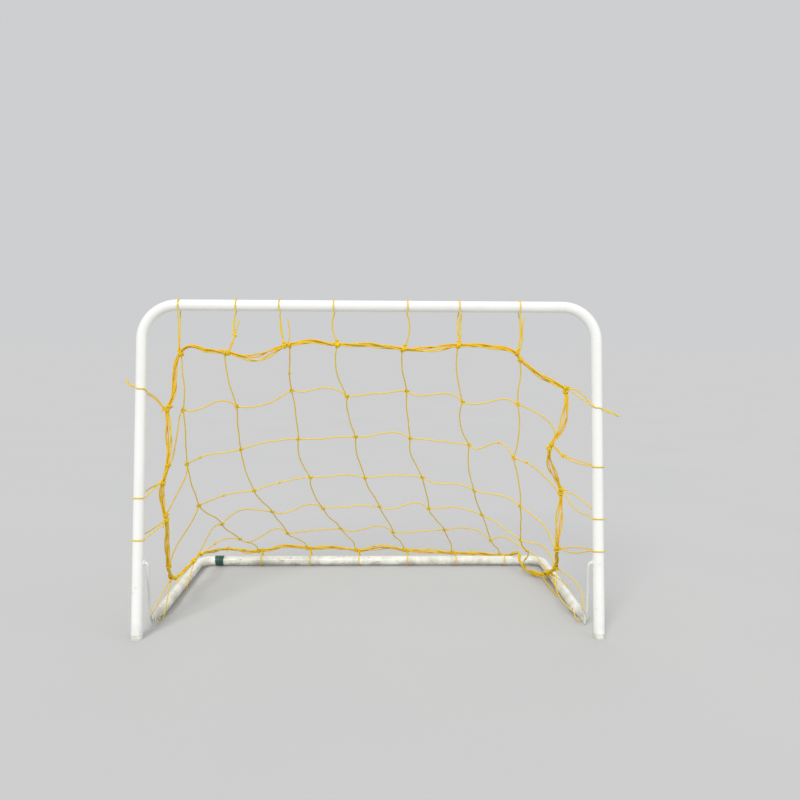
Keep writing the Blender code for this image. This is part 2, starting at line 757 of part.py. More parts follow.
def make_net():
    bm = bmesh.new()
    edge = {}
    edge_t = {}
    for name, i in INDEX.items():
        t = t_past(i, KNOT_SHIFT)
        edge_t[name] = t
        edge[name] = Knot(bm, edge_at(t, KNOT_STEP), cord_ahead(t), inward_at(t))
    # The edge itself, knot to knot, beside the border cord.
    names = sorted(edge_t, key=lambda n: edge_t[n])
    total = len(PLACES)
    for a, b in zip(names, names[1:] + names[:1]):
        start = edge_t[a]
        end = edge_t[b] if edge_t[b] > start else edge_t[b] + total
        between = [t for t in SAMPLES + [u + total for u in SAMPLES] if start < t < end]
        bunched = a == "C"
        step = BUNCH_STEP if bunched else EDGE_STEP
        middles = [edge_at(t, step) for t in between]
        ends = (edge[a].place, edge[b].place)
        middles = [m for m in middles if min((m - e).length for e in ends) > KNOT * 1.1]
        twine_between(bm, edge[a], edge[b], middles, BUNCH if bunched else BORDER_TWINE)
    columns = len(CROSSBAR_TIES)
    inner = []
    for c in range(columns):
        top = edge["T%d" % c]
        bottom = edge["B%d" % c] if c < REAR_TIES else edge["D"]
        inner.append(column_knots(top.place, bottom.place, *COLUMN_HANGS[c]))
    knots = []
    for c in range(columns):
        line = [edge["T%d" % c].place] + inner[c]
        line.append((edge["B%d" % c] if c < REAR_TIES else edge["D"]).place)
        made = []
        for r in range(1, ROWS):
            left = inner[max(c - 1, 0)][r - 1]
            right = inner[min(c + 1, columns - 1)][r - 1]
            made.append(Knot(bm, line[r], right - left, line[r + 1] - line[r - 1]))
        knots.append(made)
    for c in range(columns):
        line = [edge["T%d" % c]] + knots[c]
        line.append(edge["B%d" % c] if c < REAR_TIES else edge["D"])
        for r in range(ROWS):
            sway = Vector((SWAY if (r + c) % 2 else -SWAY, 0, 0))
            twine_between(bm, line[r], line[r + 1], bows=(sway, sway))
    left_ends = ("L2", "L3", "L4", "M2", "M3")
    right_ends = ("R2", "R3", "R4", "R5", "Q")
    for r in range(1, ROWS):
        line = [edge[left_ends[r - 1]]] + [knots[c][r - 1] for c in range(columns)]
        line.append(edge[right_ends[r - 1]])
        for k in range(len(line) - 1):
            out = OUTWARD_BOW if (r, k) == (1, columns) else 0
            bows = [Vector((out, SWAY, lift)) for lift in ROW_LIFTS[r - 1][k]]
            twine_between(bm, line[k], line[k + 1], steps=4, bows=bows)
    for knot in list(edge.values()) + [k for made in knots for k in made]:
        knot.finish(bm)
    return add_node("net", bm, net_yellow, smooth=False)


# Ties

def hull(spots):
    """The spots of a band pulled tight round them all, in order."""
    spots = sorted(spots, key=lambda s: (s[0], s[1]))

    def half(row):
        out = []
        for s in row:
            while len(out) > 1:
                a, b = out[-2], out[-1]
                turn = (b[0] - a[0]) * (s[1] - a[1]) - (b[1] - a[1]) * (s[0] - a[0])
                if turn > 1e-12:
                    break
                out.pop()
            out.append(s)
        return out[:-1]

    return half(spots) + half(spots[::-1])


def make_tie(name, centre, axis, t_eye, slack=0.0):
    """A closed loop of twine round a tube and round the border of the net.

    centre is on the tube's axis. The eye of the loop is round the border at t_eye.
    slack is how far the loop stands out on the far side of the tube.
    """
    axis = axis.normalized()
    ref = Vector((0, 0, -1))
    if abs(ref.dot(axis)) > 0.9:
        ref = Vector((0, 1, 0))
    e = (ref - axis * ref.dot(axis)).normalized()
    f = axis.cross(e)
    spots = []

    def circle(place, mid_r, count):
        offset = place - centre
        flat = (offset.dot(e), offset.dot(f))
        radius = mid_r / math.cos(math.pi / count)
        for k in range(count):
            turn = 2 * math.pi * (k + 0.5) / count
            x = flat[0] + radius * math.cos(turn)
            y = flat[1] + radius * math.sin(turn)
            spots.append((x, y, offset.dot(axis)))

    circle(centre, WRAP_MID, 12)
    slant = max(abs(cord_ahead(t_eye).dot(axis)), 0.6)
    circle(cord_at(t_eye), CORD_R / slant + TWINE / 2 + 3 * GAP, 8)
    circle(edge_at(t_eye), BORDER_TWINE * 0.71 / slant + TWINE / 2 + 4 * GAP, 8)
    if slack:
        away = Vector((math.copysign(1, centre.x), 0, 0))
        circle(centre + away * (TUBE_R + slack), TWINE, 6)
    loop = hull(spots)
    n = len(loop)
    h = TWINE / 2
    bm = bmesh.new()
    rings = []
    for i in range(n):
        before, here, after = loop[i - 1], loop[i], loop[(i + 1) % n]
        a = Vector((here[0] - before[0], here[1] - before[1])).normalized()
        b = Vector((after[0] - here[0], after[1] - here[1])).normalized()
        mid = (a + b).normalized()
        out = Vector((mid.y, -mid.x)) / max(mid.dot(a), 0.5)
        outward = e * out.x + f * out.y
        point = centre + e * here[0] + f * here[1] + axis * here[2]
        corners = ((h, h), (-h, h), (-h, -h), (h, -h))
        rings.append([bm.verts.new(point + outward * x + axis * y) for x, y in corners])
    for i in range(n):
        bridge(bm, rings[i], rings[(i + 1) % n])
    return add_node(name, bm, tie_yellow, smooth=False)


def make_ties():
    for i, (share, _, _) in enumerate(CROSSBAR_TIES):
        t = INDEX["T%d" % i] + (0 if i else CORNER_EYE)
        make_tie("crossbar_tie_%d" % (i + 1), on_hoop(share * POST_X, BAR_S), Vector((1, 0, 0)), t)
    for i, (s, slack) in enumerate(LEFT_POST_TIES):
        t = INDEX["L%d" % (i + 1)]
        make_tie("left_post_tie_%d" % (i + 1), on_hoop(-POST_X, s), HOOP_UP, t, slack)
    for i, (s, slack) in enumerate(RIGHT_POST_TIES):
        t = INDEX["R%d" % (i + 1)]
        make_tie("right_post_tie_%d" % (i + 1), on_hoop(POST_X, s), HOOP_UP, t, slack)
    for i in range(REAR_TIES):
        centre = Vector((REAR_FIRST * POST_X + i * REAR_PITCH, REAR_Y, GROUND_Z))
        make_tie("rear_tie_%d" % (i + 1), centre, Vector((1, 0, 0)), INDEX["B%d" % i])
    along = Vector((0, 1, 0))
    for word, side, y, t in (
        ("left_front", -1, LEFT_SIDE_TIE_Y, INDEX["L4"] - 0.5),
        ("left_mid", -1, LEFT_MID_TIE_Y, INDEX["M2"]),
        ("right_front", 1, RIGHT_SIDE_TIE_Y, INDEX["R5"]),
        ("right_mid", 1, RIGHT_MID_TIE_Y, INDEX["Q"]),
    ):
        make_tie("%s_ground_tie" % word, Vector((side * SIDE_X, y, GROUND_Z)), along, t)


def centre_on_floor():
    """Moves the whole goal so that the origin is below the middle of its outline."""
    things = [t for t in bpy.data.objects if not t.hide_render]
    spots = [v.co for t in things for v in t.data.vertices]
    middle_x = (min(s.x for s in spots) + max(s.x for s in spots)) / 2
    middle_y = (min(s.y for s in spots) + max(s.y for s in spots)) / 2
    for thing in bpy.data.objects:
        thing.location = Vector((-middle_x, -middle_y, 0))
    return Vector((-middle_x, -middle_y, 0))


def hang_on_hinge(shift):
    """The folding frame and what it carries turn about an empty on the hinge pins' axis."""
    axis = bpy.data.objects.new("fold_axis", None)
    bpy.context.scene.collection.objects.link(axis)
    axis.location = shift + Vector((0, PIN_Y, GROUND_Z))
    riders = ("ground_", "rear_", "_ground_tie", "_pin_hole", "border_cord", "net")
    for thing in list(bpy.data.objects):
        if any(word in thing.name for word in riders):
            thing.parent = axis
            thing.location = shift - axis.location
    print("hinge axis at", [round(c, 5) for c in axis.location])


for old in list(bpy.data.objects):
    bpy.data.objects.remove(old)

white = paint("white_enamel", (0.90, 0.91, 0.90), 0.32)
rod_paint = paint("rod_enamel", (0.80, 0.82, 0.78), 0.38)
plug_plastic = paint("white_plastic", (0.82, 0.83, 0.80), 0.50)
sleeve_plastic = paint("teal_plastic", (0.035, 0.12, 0.10), 0.45)
net_yellow = paint("net_yellow", (0.85, 0.60, 0.05), 0.60)
cord_yellow = paint("cord_yellow", (0.88, 0.55, 0.03), 0.60)
tie_yellow = paint("tie_yellow", (0.84, 0.63, 0.08), 0.60)

make_hoop()
make_ground_frame()
for _word, _side in (("left", -1), ("right", 1)):
    make_rod(_word, _side)
    make_foot(_word, _side)
make_sleeve()
make_border_cord()
make_net()
make_ties()
hang_on_hinge(centre_on_floor())
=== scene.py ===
"""Looks of the small folding soccer goal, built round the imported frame.

Metres, +Z up, the mouth faces -Y. Routes are worked out from the middle of the feet, as in
the part's own source, and then moved by FROM_FEET into the frame's coordinates.
"""
import json
import math

import bmesh
import bpy
import numpy as np
from mathutils import Matrix, Vector


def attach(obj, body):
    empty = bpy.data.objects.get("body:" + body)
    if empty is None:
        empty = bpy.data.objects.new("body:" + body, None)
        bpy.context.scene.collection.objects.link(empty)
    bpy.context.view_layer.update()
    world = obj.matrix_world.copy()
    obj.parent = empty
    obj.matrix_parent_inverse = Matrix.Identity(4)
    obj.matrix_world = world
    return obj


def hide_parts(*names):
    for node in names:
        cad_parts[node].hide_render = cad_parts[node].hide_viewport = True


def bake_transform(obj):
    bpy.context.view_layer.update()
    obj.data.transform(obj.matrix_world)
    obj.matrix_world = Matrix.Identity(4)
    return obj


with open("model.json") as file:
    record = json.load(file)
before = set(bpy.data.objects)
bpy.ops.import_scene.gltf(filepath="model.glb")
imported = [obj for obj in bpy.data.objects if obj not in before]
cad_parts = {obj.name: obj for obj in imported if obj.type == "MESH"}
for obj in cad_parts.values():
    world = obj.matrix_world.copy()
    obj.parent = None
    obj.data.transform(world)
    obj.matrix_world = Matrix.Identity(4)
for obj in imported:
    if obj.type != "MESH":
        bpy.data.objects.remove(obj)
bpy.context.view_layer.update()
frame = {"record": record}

# Camera, as fitted to the photograph
EYE = (0.0177, -1.5633, 0.4925)
FOCAL_PX = 831.0
IMAGE_PX = 800
SENSOR_MM = 36.0
PITCH = -0.0737
YAW = -0.0230
ROLL = 0.0052

# Sizes that the part's source gives
GOAL_WIDTH = 0.780
GOAL_HEIGHT = 0.560
LEAN = math.radians(7.0)
TUBE_R = 0.0095
TUBE_WALL = 0.0012
CORNER_R = 0.058
GOAL_DEPTH = 0.450
SIDE_INSET = 0.011
REAR_BEND_R = 0.030
TAB_T = 0.0032
TAB_LENGTH = 0.040
FLATTEN_LENGTH = 0.022
ROD_R = 0.0025
ROD_TOP = 0.124
ROD_OFFSET = 0.0160
ROD_BEND_R = 0.0065
ROD_PLAY = 0.0016
PIN_Y = 0.062
PIN_BEHIND_TIP = 0.010
PIN_HEAD_R = 0.0039
PIN_HEAD_T = 0.0014
FOOT_HEAD = 0.0065
SLEEVE_INSET = 0.040
SLEEVE_WIDTH = 0.018
SLEEVE_WALL = 0.0007
TWINE_D = 0.0018
MESH = 0.100
ROWS = 6
KNOT = 0.0056
CORD_R = 0.0015
BORDER_TWINE = 0.0024
KNOT_SHIFT = 0.0080
GAP = 0.0003
HOLE_GAP = 0.0004
SWAY = 0.0022
NET_SLACK = 0.0209

# The loops of the crossbar ties: where the loop and then its eye sit along the bar, as shares of
# half its width, and how much lower than usual the border hangs there.
CROSSBAR_TIES = (
    (-0.841, -0.838, 0.0075),
    (-0.591, -0.628, 0.0075),
    (-0.402, -0.381, -0.0045),
    (-0.163, -0.147, -0.0075),
    (0.163, 0.152, -0.0005),
    (0.392, 0.394, -0.0075),
    (0.660, 0.654, 0.0065),
)
# Each column's sag, and how late it goes sideways on its way down.
COLUMN_HANGS = (
    (0.092, 3.40), (0.049, 2.80), (0.033, 2.40), (0.036, 1.65),
    (0.029, 1.95), (0.062, 1.75), (0.073, 1.70),
)
# How far the bars of each row are drawn up, near their left and near their right knot.
ROW_LIFTS = (
    (
        (-0.019, 0.026), (-0.013, 0.033), (-0.015, -0.015), (-0.011, 0.031),
        (0, 0), (-0.022, 0.030), (-0.014, 0.022), (0.015, 0.015),
    ),
    (
        (0, 0), (0.013, 0), (0.005, 0.006), (-0.004, 0.001),
        (-0.004, 0.023), (0, 0), (-0.021, 0.053), (0.008, 0.026),
    ),
    (
        (0, 0), (0.008, 0.008), (0.004, 0.005), (-0.002, 0.012),
        (0.004, 0.004), (-0.018, 0.015), (0.000, 0.018), (0.004, 0.012),
    ),
    (
        (0.010, 0.020), (0.033, 0.010), (-0.020, 0.029), (0.003, 0.003),
        (-0.021, 0.031), (0.006, 0.010), (0, 0), (0.006, 0.040),
    ),
    (
        (0.014, 0.014), (-0.031, 0.040), (0, 0), (-0.021, 0.033),
        (-0.003, -0.003), (0.009, 0.029), (0.028, 0.010), (0.008, 0.006),
    ),
)
# Sideways bows of single bars of the rows, near their left and near their right knot.
SIDE_BOWS = {
    (1, 0): (0.007, -0.009), (1, 7): (0.030, 0.060), (2, 0): (0.001, 0.006),
    (3, 0): (-0.006, -0.006), (4, 7): (0, 0.016),
}
# Sideways bows of single bars of the columns, in place of the usual sway.
COLUMN_BOWS = {
    (0, 0): 0.007, (1, 0): -0.003, (2, 0): -0.004, (3, 0): -0.012, (4, 0): -0.004, (5, 0): -0.008,
    (3, 1): -0.006, (4, 1): -0.003, (5, 1): -0.013, (6, 1): 0.008,
    (1, 2): -0.005, (2, 2): -0.011, (3, 2): -0.006, (4, 2): -0.010, (5, 2): -0.007, (6, 2): 0.006,
    (2, 3): -0.009,
}
# How far past the tie beside it an edge knot sits, where that isn't the usual KNOT_SHIFT.
KNOT_SHIFTS = {"T0": 0.002, "T1": -0.005, "T3": 0.0, "T4": -0.004, "T5": -0.003, "T6": 0.012}
# How far each knot lies from the even hang of its column, sideways and up: a line for each
# column, from its first knot down.
KNOT_NUDGES = (
    ((-0.010, -0.003), (-0.016, -0.007), (-0.014, -0.008), (0.003, 0.010), (0.004, 0.011)),
    ((-0.002, 0), (-0.008, 0.002), (-0.004, -0.008), (0.004, 0.006), (0, 0.004)),
    ((-0.004, 0.010), (-0.004, 0), (0, -0.003), (0, -0.005), (0.005, 0.004)),
    ((0, 0), (0, 0.006), (-0.002, -0.003), (0.002, 0), (0.004, -0.004)),
    ((-0.006, 0.014), (-0.007, 0.004), (0.003, -0.002), (-0.002, -0.006), (0.009, 0)),
    ((-0.003, 0), (0.002, 0.008), (0, -0.006), (0, 0.003), (0, -0.009)),
    ((0, 0.015), (-0.008, 0.007), (0.002, -0.007), (0, -0.012), (0.010, 0.007)),
)
# Small hitches along single bars: row or column, its number, its bar, the share of the way.
HITCHES = {
    ("row", 2, 1): 0.25, ("row", 2, 6): 0.67, ("row", 2, 7): 0.30, ("row", 3, 1): 0.45,
    ("row", 3, 2): 0.45, ("row", 5, 0): 0.35, ("column", 2, 0): 0.60, ("column", 6, 5): 0.50,
}
# How far stations of the border lie off their even places, sideways and up. A station without
# a name is one step on from the named one before it.
STATION_SHIFTS = {
    ("T0", 0): (-0.003, -0.005), ("B5", 0): (0, -0.011), ("B5", 1): (0, -0.011),
    ("B4", 0): (0, -0.006), ("B4", 1): (0, -0.009), ("B3", 1): (0, 0.004),
    ("B1", 0): (0, 0.005), ("B1", 1): (0, 0.006), ("A", 0): (0, -0.008),
    ("M1", 0): (-0.007, -0.002), ("L4", 0): (-0.007, 0),
}
# Further bows of the border from the named station to the next: sideways, up, and a wave that
# goes to one side and then to the other.
BORDER_BOWS = {
    "T0": (0, 0.006, 0), "T6": (-0.003, -0.015, 0), "R1": (0.0075, 0, -0.004),
    "R2": (-0.009, 0.002, 0), "R3": (-0.001, 0, 0), "B0": (0, -0.003, 0),
    "L3": (-0.008, 0, 0), "L2": (0.005, 0, 0), "L1": (0.005, 0, 0.0035),
}
# How much higher the border hangs halfway between two crossbar ties.
TOP_BOWS = (0.004, -0.014, 0.0065, 0.003, -0.003, 0.005)
# Stations of the border beside the posts: in from the post, back from the feet and up, in meshes.
LEFT_EDGE = ((0.355, 0.68, 3.71), (0.335, 0.68, 2.69), (0.315, 0.72, 1.82), (0.330, 1.00, 0.88))
RIGHT_EDGE = (
    (0.495, 0.62, 4.12), (0.695, 0.68, 3.13), (0.445, 1.00, 2.31), (0.465, 1.12, 1.24), (0.310, 1.90, 0.68),
)
# The same along the side tubes, but measured from the tube and from the rear bar.
LEFT_CORNER = ((0.52, -0.06, 0.42), (0.10, 0.855, 0.48), (0.11, 1.655, 0.56), (0.05, 2.555, 0.50))
RIGHT_CORNER = ((0.06, 1.785, 0.36), (0.10, 1.085, 0.10), (0.34, 0.645, 0.08))
CROSSING_INSET = 0.042
CROSSING_CLEAR = 0.0035
# Heights of the post ties along the posts.
LEFT_POST_TIES = (0.410, 0.230, 0.161)
RIGHT_POST_TIES = (0.381, 0.282, 0.196, 0.1425)
REAR_FIRST = -0.631
REAR_LAST = 0.756
REAR_TIES = 6
REAR_BEHIND = 0.0170
REAR_ABOVE = 0.0160
REAR_BOWS = (0.007, 0.004)
LEFT_SIDE_TIE_Y = 0.092
LEFT_MID_TIE_Y = 0.260
RIGHT_SIDE_TIE_Y = 0.078
RIGHT_MID_TIE_Y = 0.235

# Derived from them as the part does
POST_X = GOAL_WIDTH / 2 - TUBE_R
SIDE_X = POST_X - SIDE_INSET
BAR_S = GOAL_HEIGHT - TUBE_R
GROUND_Z = TUBE_R + GAP + TWINE_D
REAR_Y = GOAL_DEPTH - TUBE_R
TAB_Y = PIN_Y - PIN_BEHIND_TIP
ROD_BOTTOM_X = SIDE_X + TAB_T / 2 + ROD_PLAY + ROD_R
HINGE = Vector(frame["record"]["behaviour"]["joints"][0]["pos_m"])
FROM_FEET = np.array([0.0, HINGE.y - PIN_Y, 0.0])

# The look of the twine
STRAND_R = 0.00122  # one twine of the net
CORD_STRAND_R = 0.00140  # one twine of the border cord
TIE_R = 0.00108  # one twine of a tie
LAY = 0.0085  # length of one full twist
GROOVE_DEPTH = 0.26  # between the strands of a twine, as a share of its radius
CUT_END = 0.72  # the share of its radius that a cut end keeps
RING_STEP = 0.0011
KNOT_REACH = 0.0036  # half width of a tied knot, without its twine
KNOT_HEIGHT = 0.85  # how far its twine rises over itself, in radii of the twine
KNOT_LAY = 0.8  # its twine is twisted tighter, by this share of the usual twist
INNER_KNOT = 1.12  # the net's inner knots, as a share of that
TIE_KNOT = 0.9  # and the knots of the ties
KNOT_SUNK = 0.0008  # how deep the edge knots sit in the border
HITCH_REACH = 0.0020
GATHERED = 5  # twines in the bunch at the right rear corner, past the border's own
BUNCH_R = 0.0042
LOOSE_END = ((0.351, 0.300, 0.005), (0.354, 0.260, 0.0019), (0.357, 0.218, 0.0014))
BUNDLE_PAIR = 0.00115  # half the distance of two twines that lie together
BUNDLE_SPLIT = 0.0012  # half the distance of the border's two pairs where they are drawn tight
SEED = 7
FLOOR_HALF = 60.0  # so far that its end is the horizon

rng = np.random.default_rng(SEED)


def arr(*values):
    return np.array(values, float)


def unit(v):
    return v / np.linalg.norm(v)


def on_hoop(x, s):
    return arr(x, s * math.sin(LEAN), s * math.cos(LEAN))


HOOP_UP = arr(0, math.sin(LEAN), math.cos(LEAN))
HOOP_BACK = arr(0, math.cos(LEAN), -math.sin(LEAN))
ACROSS = arr(1, 0, 0)
BAR = on_hoop(0, BAR_S)
REAR_EDGE = arr(0, REAR_Y + REAR_BEHIND, GROUND_Z + REAR_ABOVE)
TIE_DROP = np.linalg.norm(REAR_EDGE - BAR) + NET_SLACK - ROWS * MESH
REAR_PITCH = (REAR_LAST - REAR_FIRST) * POST_X / (REAR_TIES - 1)


UP = arr(0, 0, 1)
ALONG = arr(0, 1, 0)


# Paths

def unit_rows(v):
    return v / np.linalg.norm(v, axis=1)[:, None]


def once_round(count, first=0.0):
    """Even angles round a circle, from this share of a step."""
    return 2 * math.pi * (np.arange(count) + first) / count


def around(angles, x, y):
    """Spokes at the angles, in the plane of x and y."""
    return np.cos(angles)[..., None] * x + np.sin(angles)[..., None] * y


def path_length(points):
    return np.concatenate([[0], np.cumsum(np.linalg.norm(np.diff(points, axis=0), axis=1))])


def points_at(goals, run, points):
    """Places on a line, where run is how far each of its points lies along it."""
    return np.stack([np.interp(goals, run, points[:, k]) for k in range(3)], axis=1)


def resample(points, step, closed=False):
    """The same line with rings an even step apart."""
    points = np.asarray(points, float)
    if closed:
        points = np.vstack([points, points[:1]])
    run = path_length(points)
    count = max(int(round(run[-1] / step)), 4)
    even = points_at(np.linspace(0, run[-1], count + 1), run, points)
    return even[:-1] if closed else even


def soften(points, rounds, closed=False):
    """Rounds off what is left of corners."""
    p = np.asarray(points, float).copy()
    for _ in range(rounds):
        if closed:
            p = p * 0.5 + (np.roll(p, 1, axis=0) + np.roll(p, -1, axis=0)) * 0.25
        else:
            p[1:-1] = p[1:-1] * 0.5 + (p[:-2] + p[2:]) * 0.25
    return p


def rounded_path(corners, radius, steps):
    """An open line through the corners, with each inner corner turned to an arc."""
    points = [corners[0]]
    for before, corner, after in zip(corners, corners[1:], corners[2:]):
        back = unit(before - corner)
        ahead = unit(after - corner)
        half = math.acos(np.clip(back @ ahead, -1, 1)) / 2
        middle = corner + unit(back + ahead) * (radius / math.sin(half))
        start = corner + back * (radius / math.tan(half)) - middle
        end = corner + ahead * (radius / math.tan(half)) - middle
        turn = math.pi - 2 * half
        for t in np.linspace(0, 1, steps + 1):
            spoke = start * math.sin((1 - t) * turn) + end * math.sin(t * turn)
            points.append(middle + spoke / math.sin(turn))
    points.append(corners[-1])
    return np.array(points)


def frames(points, closed=False, first=None):
    """Tangent and two crossing directions at each point, carried along without twist."""
    if closed:
        ahead = unit_rows(np.roll(points, -1, axis=0) - np.roll(points, 1, axis=0))
    else:
        ahead = unit_rows(np.gradient(points, axis=0))
    across = np.empty_like(points)
    side = arr(0.3, 0.2, 0.93) if first is None else first
    for i, way in enumerate(ahead):
        side = unit(side - way * (side @ way))
        across[i] = side
    if closed:
        # What the closed line gains in twist is spread over its length.
        last = side - ahead[0] * (side @ ahead[0])
        gained = math.atan2(np.cross(across[0], last) @ ahead[0], across[0] @ last)
        angle = -gained * np.arange(len(points)) / len(points)
        across = around(angle, across, np.cross(ahead, across))
    return ahead, across, np.cross(ahead, across)


def put(name, data):
    """A new object of the scene."""
    thing = bpy.data.objects.new(name, data)
    bpy.context.scene.collection.objects.link(thing)
    return thing


def skin(name, mesh, material):
    """A smooth piece of one material."""
    mesh.shade_smooth()
    mesh.materials.append(material)
    return put(name, mesh)


class Weave:
    """Collects lengths of twisted twine into one mesh."""

    LOBES = 3
    PER_LOBE = 3

    def __init__(self, radius=STRAND_R):
        self.radius = radius
        self.points = []
        self.faces = []
        self.groove = []
        self.uvs = []
        self.tone = []
        self.count = 0

    def lay(self, line, closed=False, tone=None, lay=LAY):
        """One twine along the line, its ends cut square and slightly rounded."""
        line = resample(line, RING_STEP, closed)
        n = len(line)
        sides = self.LOBES * self.PER_LOBE
        _, across, other = frames(line, closed)
        run = np.arange(n) * RING_STEP
        turns = round(run[-1] / lay) if closed else run[-1] / lay
        twist = 2 * math.pi * turns * np.arange(n) / (n if closed else max(n - 1, 1))
        start = rng.uniform(0, 2 * math.pi)
        in_groove = (np.arange(sides) % self.PER_LOBE == 0).astype(float)
        angle = start + twist[:, None] + once_round(sides)[None, :]
        reach = np.tile(self.radius * (1.0 - GROOVE_DEPTH * in_groove), (n, 1))
        if not closed:
            reach[[0, -1]] *= CUT_END
        spokes = around(angle, across[:, None, :], other[:, None, :])
        self.points.append((line[:, None, :] + spokes * reach[..., None]).reshape(-1, 3))
        self.groove.append(np.tile(in_groove, n))
        tone = rng.uniform(0, 1) if tone is None else tone
        self.tone.append(np.full(n * sides, tone))
        for i in range(n if closed else n - 1):
            here = self.count + i * sides
            there = self.count + (i + 1) % n * sides
            v0, v1 = run[i], run[i] + RING_STEP
            for a in range(sides):
                b = (a + 1) % sides
                self.faces.append((here + a, here + b, there + b, there + a))
                u0, u1 = a / sides, (a + 1) / sides
                self.uvs.extend((u0, v0, u1, v0, u1, v1, u0, v1))
        if not closed:
            for i, order in ((0, -1), (n - 1, 1)):
                self.faces.append(tuple(self.count + i * sides + a for a in range(sides)[::order]))
                self.uvs.extend([0.5, run[i]] * sides)
        self.count += n * sides

    def knot(self, place, u, v, reach=KNOT_REACH, tone=None):
        """A tight knot: one twine looped through itself, flat in the plane of u and v."""
        u = unit(u)
        v = unit(v - u * (v @ u))
        roll = rng.uniform(0, 2 * math.pi)
        a = np.linspace(0, 2 * math.pi, 60, endpoint=False)
        x = np.sin(a) + 2 * np.sin(2 * a)
        y = np.cos(a) - 2 * np.cos(2 * a)
        c, s = math.cos(roll), math.sin(roll)
        flat = (x * c - y * s)[:, None] * u + (x * s + y * c)[:, None] * v
        rise = -np.sin(3 * a)[:, None] * np.cross(u, v) * self.radius * KNOT_HEIGHT
        self.lay(place + flat * (reach / 3) + rise, closed=True, tone=tone, lay=LAY * KNOT_LAY)

    def coil(self, centre, axis, radius, turns, pitch, start=0.0, tone=None):
        """Turns of twine round a bundle."""
        axis = unit(axis)
        side = unit(np.cross(axis, arr(0.31, 0.17, 0.94)))
        a = np.linspace(0, 2 * math.pi * turns, max(int(turns * 26), 8))
        along = (a / (2 * math.pi) - turns / 2) * pitch
        spokes = around(a + start, side, np.cross(axis, side))
        self.lay(centre + axis * along[:, None] + spokes * radius, tone=tone)

    def finish(self, name, material):
        points = np.vstack(self.points) + FROM_FEET
        # What lies on the floor is pressed flat.
        points[:, 2] = np.maximum(points[:, 2], 0.0)
        mesh = bpy.data.meshes.new(name)
        mesh.from_pydata(points.tolist(), [], self.faces)
        layer = mesh.uv_layers.new(name="lay")
        layer.data.foreach_set("uv", np.array(self.uvs, np.float32))
        for label, values in (("groove", self.groove), ("tone", self.tone)):
            attribute = mesh.attributes.new(label, "FLOAT", "POINT")
            attribute.data.foreach_set("value", np.concatenate(values).astype(np.float32))
        return skin(name, mesh, material)


# Round metal and plastic pieces

def solid(name, rings, material, wrap=False):
    """A skin over rings of points in order, its ends capped, or joined where it wraps round."""
    bm = bmesh.new()
    rows = [[bm.verts.new(Vector(p)) for p in ring + FROM_FEET] for ring in rings]
    for first, second in zip(rows, rows[1:] + rows[:1] if wrap else rows[1:]):
        for k in range(len(first)):
            j = (k + 1) % len(first)
            bm.faces.new((first[k], first[j], second[j], second[k]))
    if not wrap:
        bm.faces.new(rows[0][::-1])
        bm.faces.new(rows[-1])
    bmesh.ops.recalc_face_normals(bm, faces=bm.faces)
    mesh = bpy.data.meshes.new(name)
    bm.to_mesh(mesh)
    bm.free()
    return skin(name, mesh, material)


def circle_rings(line, radii, sides, first, closed=False):
    """Rings along a line, all of one radius or each of its own."""
    _, across, other = frames(line, closed, first)
    a = once_round(sides, 0.5)
    radii = np.broadcast_to(radii, len(line))
    return [point + around(a, x, y) * radius for point, x, y, radius in zip(line, across, other, radii)]


def sharpen(piece, degrees=40):
    """Creases steeper than this stay crisp."""
    piece.data.set_sharp_from_angle(angle=math.radians(degrees))
    return piece


def drill(piece, start, end, radius):
    """Takes a round hole out of the piece and leaves no modifier behind."""
    cutter = solid("drill", circle_rings(np.array([start, end]), radius, 32, UP), piece.data.materials[0])
    step = piece.modifiers.new("hole", "BOOLEAN")
    step.operation = "DIFFERENCE"
    step.solver = "EXACT"
    step.object = cutter
    shape = bpy.data.meshes.new_from_object(piece.evaluated_get(bpy.context.evaluated_depsgraph_get()))
    piece.modifiers.clear()
    piece.data = shape
    bpy.data.objects.remove(cutter)


def make_hoop(material):
    """Front hoop: one bent tube, open below, where the foot plugs sit."""
    foot = FOOT_HEAD + GAP
    turns = ((-1, foot), (-1, BAR_S), (1, BAR_S), (1, foot))
    line = rounded_path([on_hoop(side * POST_X, s) for side, s in turns], CORNER_R, 28)
    outer, inner = (circle_rings(line, radius, 64, HOOP_BACK) for radius in (TUBE_R, TUBE_R - TUBE_WALL))
    hoop = solid("hoop_tube", outer + inner[::-1], material, wrap=True)
    for side in (-1, 1):
        inside = on_hoop(side * (POST_X - TUBE_R * 1.4), ROD_TOP)
        drill(hoop, inside, on_hoop(side * POST_X, ROD_TOP), ROD_R + HOLE_GAP)
    sharpen(hoop)
    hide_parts("goal_hoop")
    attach(hoop, "hoop")


